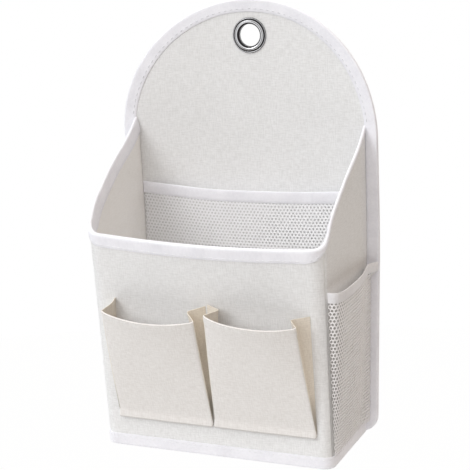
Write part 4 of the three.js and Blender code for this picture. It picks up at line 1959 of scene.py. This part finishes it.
@dataclass
class SideNet:
    """Net pocket on the right wall: it leaves the front seam, stands off and returns."""

    wardrobe: Wardrobe
    wall: BagWall
    bottom: float = 11.6
    top: float = 161.5
    hem: float = 8.8
    hem_thickness: float = 1.3
    hem_lap: float = 1.5
    pitch: float = 3.5
    opening: float = 0.68
    yarn: float = 0.35
    gusset_share: float = 0.76
    yarn_share: float = 0.62
    front_seam: float = 5.0
    rear_seam: float = 5.4
    stand_off: float = 1.2
    rear_x: float = 113.0
    tail: float = 5.6
    top_plan: tuple[tuple[float, float], ...] = (
        (106.2, 121.5),
        (110.5, 121.6),
        (114.6, 118.8),
        (117.0, 109.0),
        (118.2, 92.0),
        (118.4, 74.0),
        (117.8, 56.0),
        (116.2, 40.0),
        (114.2, 27.0),
        (112.9, 17.0),
        (112.6, 10.5),
        (113.0, 5.9),
    )

    def _plan(self) -> tuple[Grid, Grid]:
        """The pocket's plan at its top, and its run."""
        plan = np.array(self.top_plan)
        return plan, run_lengths(plan)

    def place(self, u: Grid, v: Grid) -> Grid:
        """Turns a place on the flat pocket into a point.

        Args:
            u: Running place from the front seam.
            v: Height above the bag's bottom.

        Returns:
            Points (x, depth, height).
        """
        plan, run = self._plan()
        u = np.clip(np.asarray(u, float), 0, run[-1])
        height = np.asarray(v, float)
        share = np.clip((height - self.bottom) / (self.top - self.bottom), 0, 1.1)
        x_top = curve(u, list(zip(run, plan[:, 0])))
        d_top = curve(u, list(zip(run, plan[:, 1])))
        length = u / run[-1]
        front = self.wall.front_depth(height) - self.front_seam
        d_low = front + (self.rear_seam - front) * length
        station = 4.0 + (1 - np.clip((d_low - 5) / (front - 5), 0, 1)) * 0.96
        skin = self.wall.at(station, height)[..., 0]
        rear_reach = np.maximum(self.rear_x - skin - self.stand_off, 0.0)
        x_low = skin + self.stand_off + rear_reach * ease(length, 0.80, 0.99)
        pull = share**0.62
        lean = self.wall.lean * (height - self.top) * (1 - length)
        depth = (d_top + lean) * pull + d_low * (1 - pull)
        x = x_top * pull + x_low * (1 - pull)
        x = x + self.tail * ease(share, 0.90, 0.95) * ease(length, 0.88, 1.0)
        x = np.maximum(x, skin + 1.0)
        return np.stack([x, depth, height], axis=-1)

    def _net(self, name: str, node: str, start: float, width: float) -> bpy.types.Object:
        """Makes one stretch of the net.

        Args:
            name: The piece's name.
            node: The CAD node that it replaces.
            start: Running place where it starts.
            width: Its run.

        Returns:
            The net.
        """
        net = hexagon_net(
            name,
            width,
            self.top - self.hem + self.hem_lap - self.bottom,
            self.pitch,
            lambda u, v: self.place(u + start, v + self.bottom),
            opening=self.opening,
            thickness=self.yarn,
        )
        # The side net takes the darker yarn copy with painted shade.
        return self.wardrobe.dress(net, Slot.NET, nodes=[node], material=self.wardrobe.painted_shade_side_yarn)

    def build(self) -> None:
        """Makes the net, its rear gusset and the hem."""
        total = float(self._plan()[1][-1])
        fold = total * self.gusset_share
        main = self._net("side_net_mesh", "side_net", 0.0, fold)
        gusset = self._net("side_net_gusset_mesh", "side_net_gusset", fold, total - fold)
        runs = np.linspace(0, total, 80)
        hem = hem_tape(
            "side_net_hem_tape", self.place, runs, self.top, self.hem, self.hem_thickness
        )
        # The hem takes the greyer tape copy with painted shade.
        tape = self.wardrobe.painted_shade_side_tape
        self.wardrobe.dress(hem, Slot.BINDING, nodes=["side_net_hem"], material=tape)
        tall = self.top - self.bottom
        for net, wide, pieces in ((main, fold, [hem]), (gusset, total - fold, [])):
            flat = (wide * MM, tall * MM)
            yarn_area = self.yarn_share * flat[0] * flat[1]


# The front pockets


@dataclass(frozen=True)
class PocketEdge:
    """One upright edge of a pocket, with the seam and the fold of its pleat.

    Attributes:
        low: Sideways place of the sewn foot.
        top: Sideways place of the mouth's corner.
        mouth: Height of the mouth's corner before it stands out.
        out: How far the mouth's corner stands off the panel.
        seam: Sideways place of the pleat's seam at its top.
        seam_top: Height of the seam's top.
        fold: How far the pleat folds in under the face.
    """

    low: float
    top: float
    mouth: float
    out: float
    seam: float
    seam_top: float
    fold: float


@dataclass
class FrontPocket:
    """A pleated front pocket: a face that bellies out and a folded pleat at each side."""

    wardrobe: Wardrobe
    wall: BagWall
    name: str
    outer_side: Side
    left: PocketEdge
    right: PocketEdge
    seed: int
    belly: float = 9.5
    bottom: float = 31.0
    width: float = 90.0
    tall: float = 113.5
    sag: float = 2.4
    face_front: float = 0.5
    face_rear: float = 0.4
    hem_swell: float = 0.45
    foot_swell: float = 3.0
    pleat_half: float = 0.3
    pleat_bend: float = 3.2
    stand_off: float = 0.45
    outward: tuple[float, float, float] = (0.0, 0.99, -0.138)

    def panel_point(self, x: Any, height: Any) -> Grid:
        """A point on the front panel's cloth.

        Args:
            x: Sideways place.
            height: Height above the bottom.

        Returns:
            Points (x, depth, height).
        """
        swell = self.wall.front_swell(x, height)
        depth = self.wall.front_depth(height) + swell + self.stand_off
        x, depth, height = np.broadcast_arrays(x, depth, height)
        return np.stack([x, depth, height], axis=-1)

    def edge(self, side: Side) -> PocketEdge:
        """The pocket's edge on one side."""
        return self.left if side is Side.LEFT else self.right

    def corner(self, side: Side, share: Any) -> Grid:
        """A point on the fold between the face and a pleat.

        Args:
            side: Side of the pocket.
            share: Place up the fold, from 0 at the foot to 1 at the mouth.

        Returns:
            Points (x, depth, height).
        """
        share = np.asarray(share, float)
        edge = self.edge(side)
        x = edge.low + (edge.top - edge.low) * share
        height = self.bottom + (edge.mouth - self.bottom) * share
        slackness = share + 0.06 * np.sin(math.pi * share)
        stand = np.array(self.outward) * (edge.out * slackness)[..., None]
        return self.panel_point(x, height) + stand

    def face_points(self, a: Grid, b: Grid) -> Grid:
        """The face's middle surface.

        Args:
            a: Share across the face, from left to right.
            b: Share up the face.

        Returns:
            Points (x, depth, height).
        """
        left, right = self.corner(Side.LEFT, b), self.corner(Side.RIGHT, b)
        points = left + (right - left) * a[..., None]
        form = np.clip(4 * a * (1 - a), 0, 1) ** 0.75
        belly = self.belly * form * np.clip(b, 0, 1) ** 1.35
        uneven = ripple(a * self.width, b * 110, self.seed, 60.0)
        belly = belly + 0.9 * uneven * form * b
        panel = self.panel_point(points[..., 0], points[..., 2])
        swell = panel[..., 1] - self.wall.front_depth(points[..., 2]) - self.stand_off
        left_swell = self.wall.front_swell(left[..., 0], left[..., 2])
        right_swell = self.wall.front_swell(right[..., 0], right[..., 2])
        straight = (1 - a) * left_swell + a * right_swell
        points[..., 1] += np.maximum(swell - straight, 0) * (1 - 0.5 * b)
        points = points + np.array(self.outward) * belly[..., None]
        points[..., 2] -= self.sag * form * b**2
        return points

    def _face(self) -> None:
        """Makes the face, rolled round its side folds, with a turned hem and a sewn foot."""
        a = np.concatenate([[0, 0.006, 0.014], np.linspace(0.03, 0.97, 44), [0.986, 0.994, 1]])
        top = [0.95, 0.97, 0.985, 1.0]
        b = np.concatenate([[0, 0.01, 0.02], np.linspace(0.04, 0.93, 46), top])
        across, up = np.meshgrid(a, b, indexing="ij")
        surface = self.face_points(across, up)
        normal = -grid_normals(surface)
        edge = np.minimum(across, 1 - across) * self.width
        roll = 0.9 * np.clip(1 - edge / 1.3, 0, 1) ** 2
        hem = self.hem_swell * ease(up, 0.925, 0.94)
        foot = self.face_front + self.foot_swell * np.clip(1 - up / 0.05, 0, 1) ** 0.6
        face = surface + normal * (foot + hem - roll)[..., None]
        back = surface - normal * self.face_rear - normal * (roll * 0.2)[..., None]
        uv = np.stack([across * (self.right.low - self.left.low), up * self.tall], axis=-1)
        piece = closed_sheet(f"{self.name}_face_cloth", face, back, uv)
        # The face's cloth carries painted shade along its foot.
        self.wardrobe.dress(
            piece, Slot.POCKET, body=self.name, nodes=[f"{self.name}_face"], degrees=60
        )

    def _zigzag(self, first: Grid, middle: Grid, last: Grid, shares: Grid) -> list[Grid]:
        """A level line through a pleat, with a round bend at its fold.

        Args:
            first: Point at the seam.
            middle: Point of the fold before it is rounded.
            last: Point at the face.
            shares: Places along the line, from 0 to 1.

        Returns:
            The line's points.
        """
        leg = max(np.linalg.norm(middle - first), 1e-6)
        cut = min(0.5, self.pleat_bend / leg)
        near, far = middle + (first - middle) * cut, middle + (last - middle) * cut
        straight, bent = 0.38, 0.24
        path = []
        for share in shares:
            if share < straight:
                path.append(first + (near - first) * share / straight)
            elif share > straight + bent:
                path.append(far + (last - far) * (share - straight - bent) / straight)
            else:
                w = (share - straight) / bent
                path.append(near * (1 - w) ** 2 + middle * 2 * w * (1 - w) + far * w**2)
        return path

    def _pleat(self, side: Side, part: str) -> None:
        """Makes the pleat of one side, from the seam on the panel to the face's fold.

        Args:
            side: Side of the pocket.
            part: The pleat's word in the names of nodes and pieces.
        """
        b = np.concatenate([np.linspace(0.02, 0.9, 40), [0.93, 0.96, 0.98, 1.0]])
        edge = self.edge(side)
        x_seam = edge.low + (edge.seam - edge.low) * b
        h_seam = self.bottom + (edge.seam_top - self.bottom) * b
        start = self.panel_point(x_seam, h_seam)
        end = self.corner(side, b)
        fold = (start + end) / 2
        fold[:, 0] -= side.value * edge.fold * b
        fold[:, 2] += 1.0 * b
        t = np.linspace(0, 1, 25)
        rows = [self._zigzag(*points, t) for points in zip(start, fold, end)]
        grid = np.array(rows).transpose(1, 0, 2)
        sway = 0.6 * ripple(grid[..., 0], grid[..., 2], self.seed + 3, 40.0)
        span = np.sin(math.pi * t)[:, None] * b[None, :]
        grid = grid + grid_normals(grid) * (sway * span)[..., None]
        half = grid_normals(grid) * self.pleat_half
        uv = np.stack(np.meshgrid(t * 40, b * 113, indexing="ij"), axis=-1)
        piece = closed_sheet(f"{self.name}_{part}_pleat_cloth", grid + half, grid - half, uv)
        # The pleat takes the warm pocket-cloth copy with painted shade.
        self.wardrobe.dress(
            piece,
            Slot.POCKET,
            nodes=[f"{self.name}_{part}_pleat"],
            material=self.wardrobe.pleat,
            degrees=60,
        )
        mouth = float(np.linalg.norm(np.diff(grid[:, -1], axis=0), axis=1).sum()) * MM
        tall = (edge.seam_top - self.bottom) * MM
        0.55 * mouth * tall
        anchor = to_frame(self.panel_point(edge.seam, 90.0))
        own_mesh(piece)

    def build(self) -> None:
        """Makes the face and both pleats."""
        self._face()
        self._pleat(self.outer_side, "outer")
        self._pleat(Side(-self.outer_side.value), "inner")


# Camera, light and floor


@dataclass(frozen=True)
class Studio:
    """Camera at the photograph's angle, soft light and a pale floor.

    The sky is bright above, dimmer at both sides and warmer at the right. What the camera sees
    of it and of the floor is white or nearly so.
    """

    azimuth: float = 20.298
    elevation: float = 12.687
    roll: float = -0.836
    distance: float = 1.17915
    focal_share: float = 1336.319 / 470.0
    sensor: float = 36.0
    target: tuple[float, float, float] = (0.000621, -0.05, -0.171463)
    floor_level: float = -0.80
    floor_radius: float = 1.8
    floor_dark: Colour = (0.69, 0.69, 0.69)
    floor_light: Colour = (0.71, 0.71, 0.71)
    floor_glow: float = 0.93
    sun_strength: float = 0.80
    sun_spread: float = 28.0
    sun_side: tuple[float, float, float] = (-0.48, -0.80, 0.42)
    sky_high: float = 2.1
    sky_low: float = 0.18
    sky_side: float = 0.44
    sky_lean: float = 0.14
    sky_tints: tuple[tuple[float, Colour], ...] = (
        (0.1, (0.985, 0.995, 1.0)),
        (0.6, (1.0, 0.85, 0.71)),
    )
    white: Colour = (1.0, 1.0, 1.0)

    def camera(self) -> None:
        """Sets the camera."""
        a, e, r = (math.radians(v) for v in (self.azimuth, self.elevation, self.roll))
        back = Vector((math.sin(a) * math.cos(e), -math.cos(a) * math.cos(e), math.sin(e)))
        right = Vector((math.cos(a), math.sin(a), 0.0))
        up = back.cross(right)
        rolled_right = right * math.cos(r) + up * math.sin(r)
        rolled_up = up * math.cos(r) - right * math.sin(r)
        data = bpy.data.cameras.new("camera")
        data.sensor_width = self.sensor
        data.sensor_fit = "HORIZONTAL"
        data.lens = self.sensor * self.focal_share
        data.clip_start, data.clip_end = 0.05, 100.0
        camera = bpy.data.objects.new("camera", data)
        place = Vector(self.target) + back * self.distance
        turn = Matrix((rolled_right, rolled_up, back)).transposed().to_4x4()
        camera.matrix_world = Matrix.Translation(place) @ turn
        bpy.context.scene.collection.objects.link(camera)
        bpy.context.scene.camera = camera

    def sky(self) -> None:
        """Sets the sky."""
        world = bpy.data.worlds.new("studio")
        bpy.context.scene.world = world
        net = NodeTree(world, "ShaderNodeOutputWorld")
        across, _, up = net.parts(net.add("ShaderNodeTexCoord", {}, out="Generated"))
        level = up.spread(-0.25, 0.95, self.sky_low, self.sky_high)
        side = (across + self.sky_lean).size().spread(0.18, 0.75, 1.0, self.sky_side)
        tint = net.add("ShaderNodeValToRGB", {"stops": self.sky_tints}, across)
        sky = net.add("ShaderNodeBackground", {}, tint, level * side)
        backdrop = net.add("ShaderNodeBackground", {}, self.white, 1.0)
        net.blend(net.seen(), sky, backdrop)

    def key(self) -> None:
        """Sets the soft key light."""
        data = bpy.data.lights.new("key", "SUN")
        data.energy = self.sun_strength
        data.angle = math.radians(self.sun_spread)
        data.color = self.white
        key = bpy.data.objects.new("key", data)
        toward = Vector(self.sun_side).normalized()
        key.rotation_euler = toward.to_track_quat("Z", "Y").to_euler()
        bpy.context.scene.collection.objects.link(key)

    def floor(self) -> None:
        """Lays the pale floor, which keeps the object's shadow."""
        clear_selection()
        bpy.ops.mesh.primitive_circle_add(
            vertices=128,
            radius=self.floor_radius,
            fill_type="NGON",
            location=(0, 0, self.floor_level),
        )
        floor = bpy.context.object
        floor.name = "floor"
        net = Network("pale_floor")
        grain = net.noise(net.on_object(), 6.0, 3.0)
        net.finish(Base_Color=net.mix(grain, self.floor_dark, self.floor_light), Roughness=0.9)
        glow = net.add("ShaderNodeEmission", {}, self.white, 1.0)
        lit = Value(net, net.shader.outputs[0])
        net.blend(net.seen() * self.floor_glow, lit, glow)
        floor.data.materials.append(net.material)
        clear_selection()

    def build(self) -> None:
        """Makes all of it."""
        self.camera()
        self.sky()
        self.key()
        self.floor()
        bpy.context.scene.view_settings.view_transform = "Standard"


def main() -> None:
    """Builds the organizer round its frame."""
    logging.basicConfig(level=logging.INFO, format="%(name)s: %(message)s")
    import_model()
    Studio().build()
    wardrobe = Wardrobe()
    back = BackPanel(wardrobe)
    back.build()
    wall = BagWall(wardrobe, back)
    wall.build()
    InnerNet(wardrobe, wall).build()
    SideNet(wardrobe, wall).build()
    FrontPocket(
        wardrobe,
        wall,
        "left_pocket",
        Side.LEFT,
        left=PocketEdge(-88.8, -86.9, 139.2, 20.5, -83.0, 143.2, 3.0),
        right=PocketEdge(-0.3, -1.6, 137.8, 21.0, 1.5, 143.2, 11.5),
        seed=80,
    ).build()
    FrontPocket(
        wardrobe,
        wall,
        "right_pocket",
        Side.RIGHT,
        left=PocketEdge(1.1, 7.9, 144.4, 20.8, 3.5, 144.8, 12.5),
        right=PocketEdge(93.3, 86.4, 139.6, 21.5, 91.7, 140.6, 11.0),
        seed=90,
    ).build()
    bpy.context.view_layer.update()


if __name__ == "__main__":
    main()
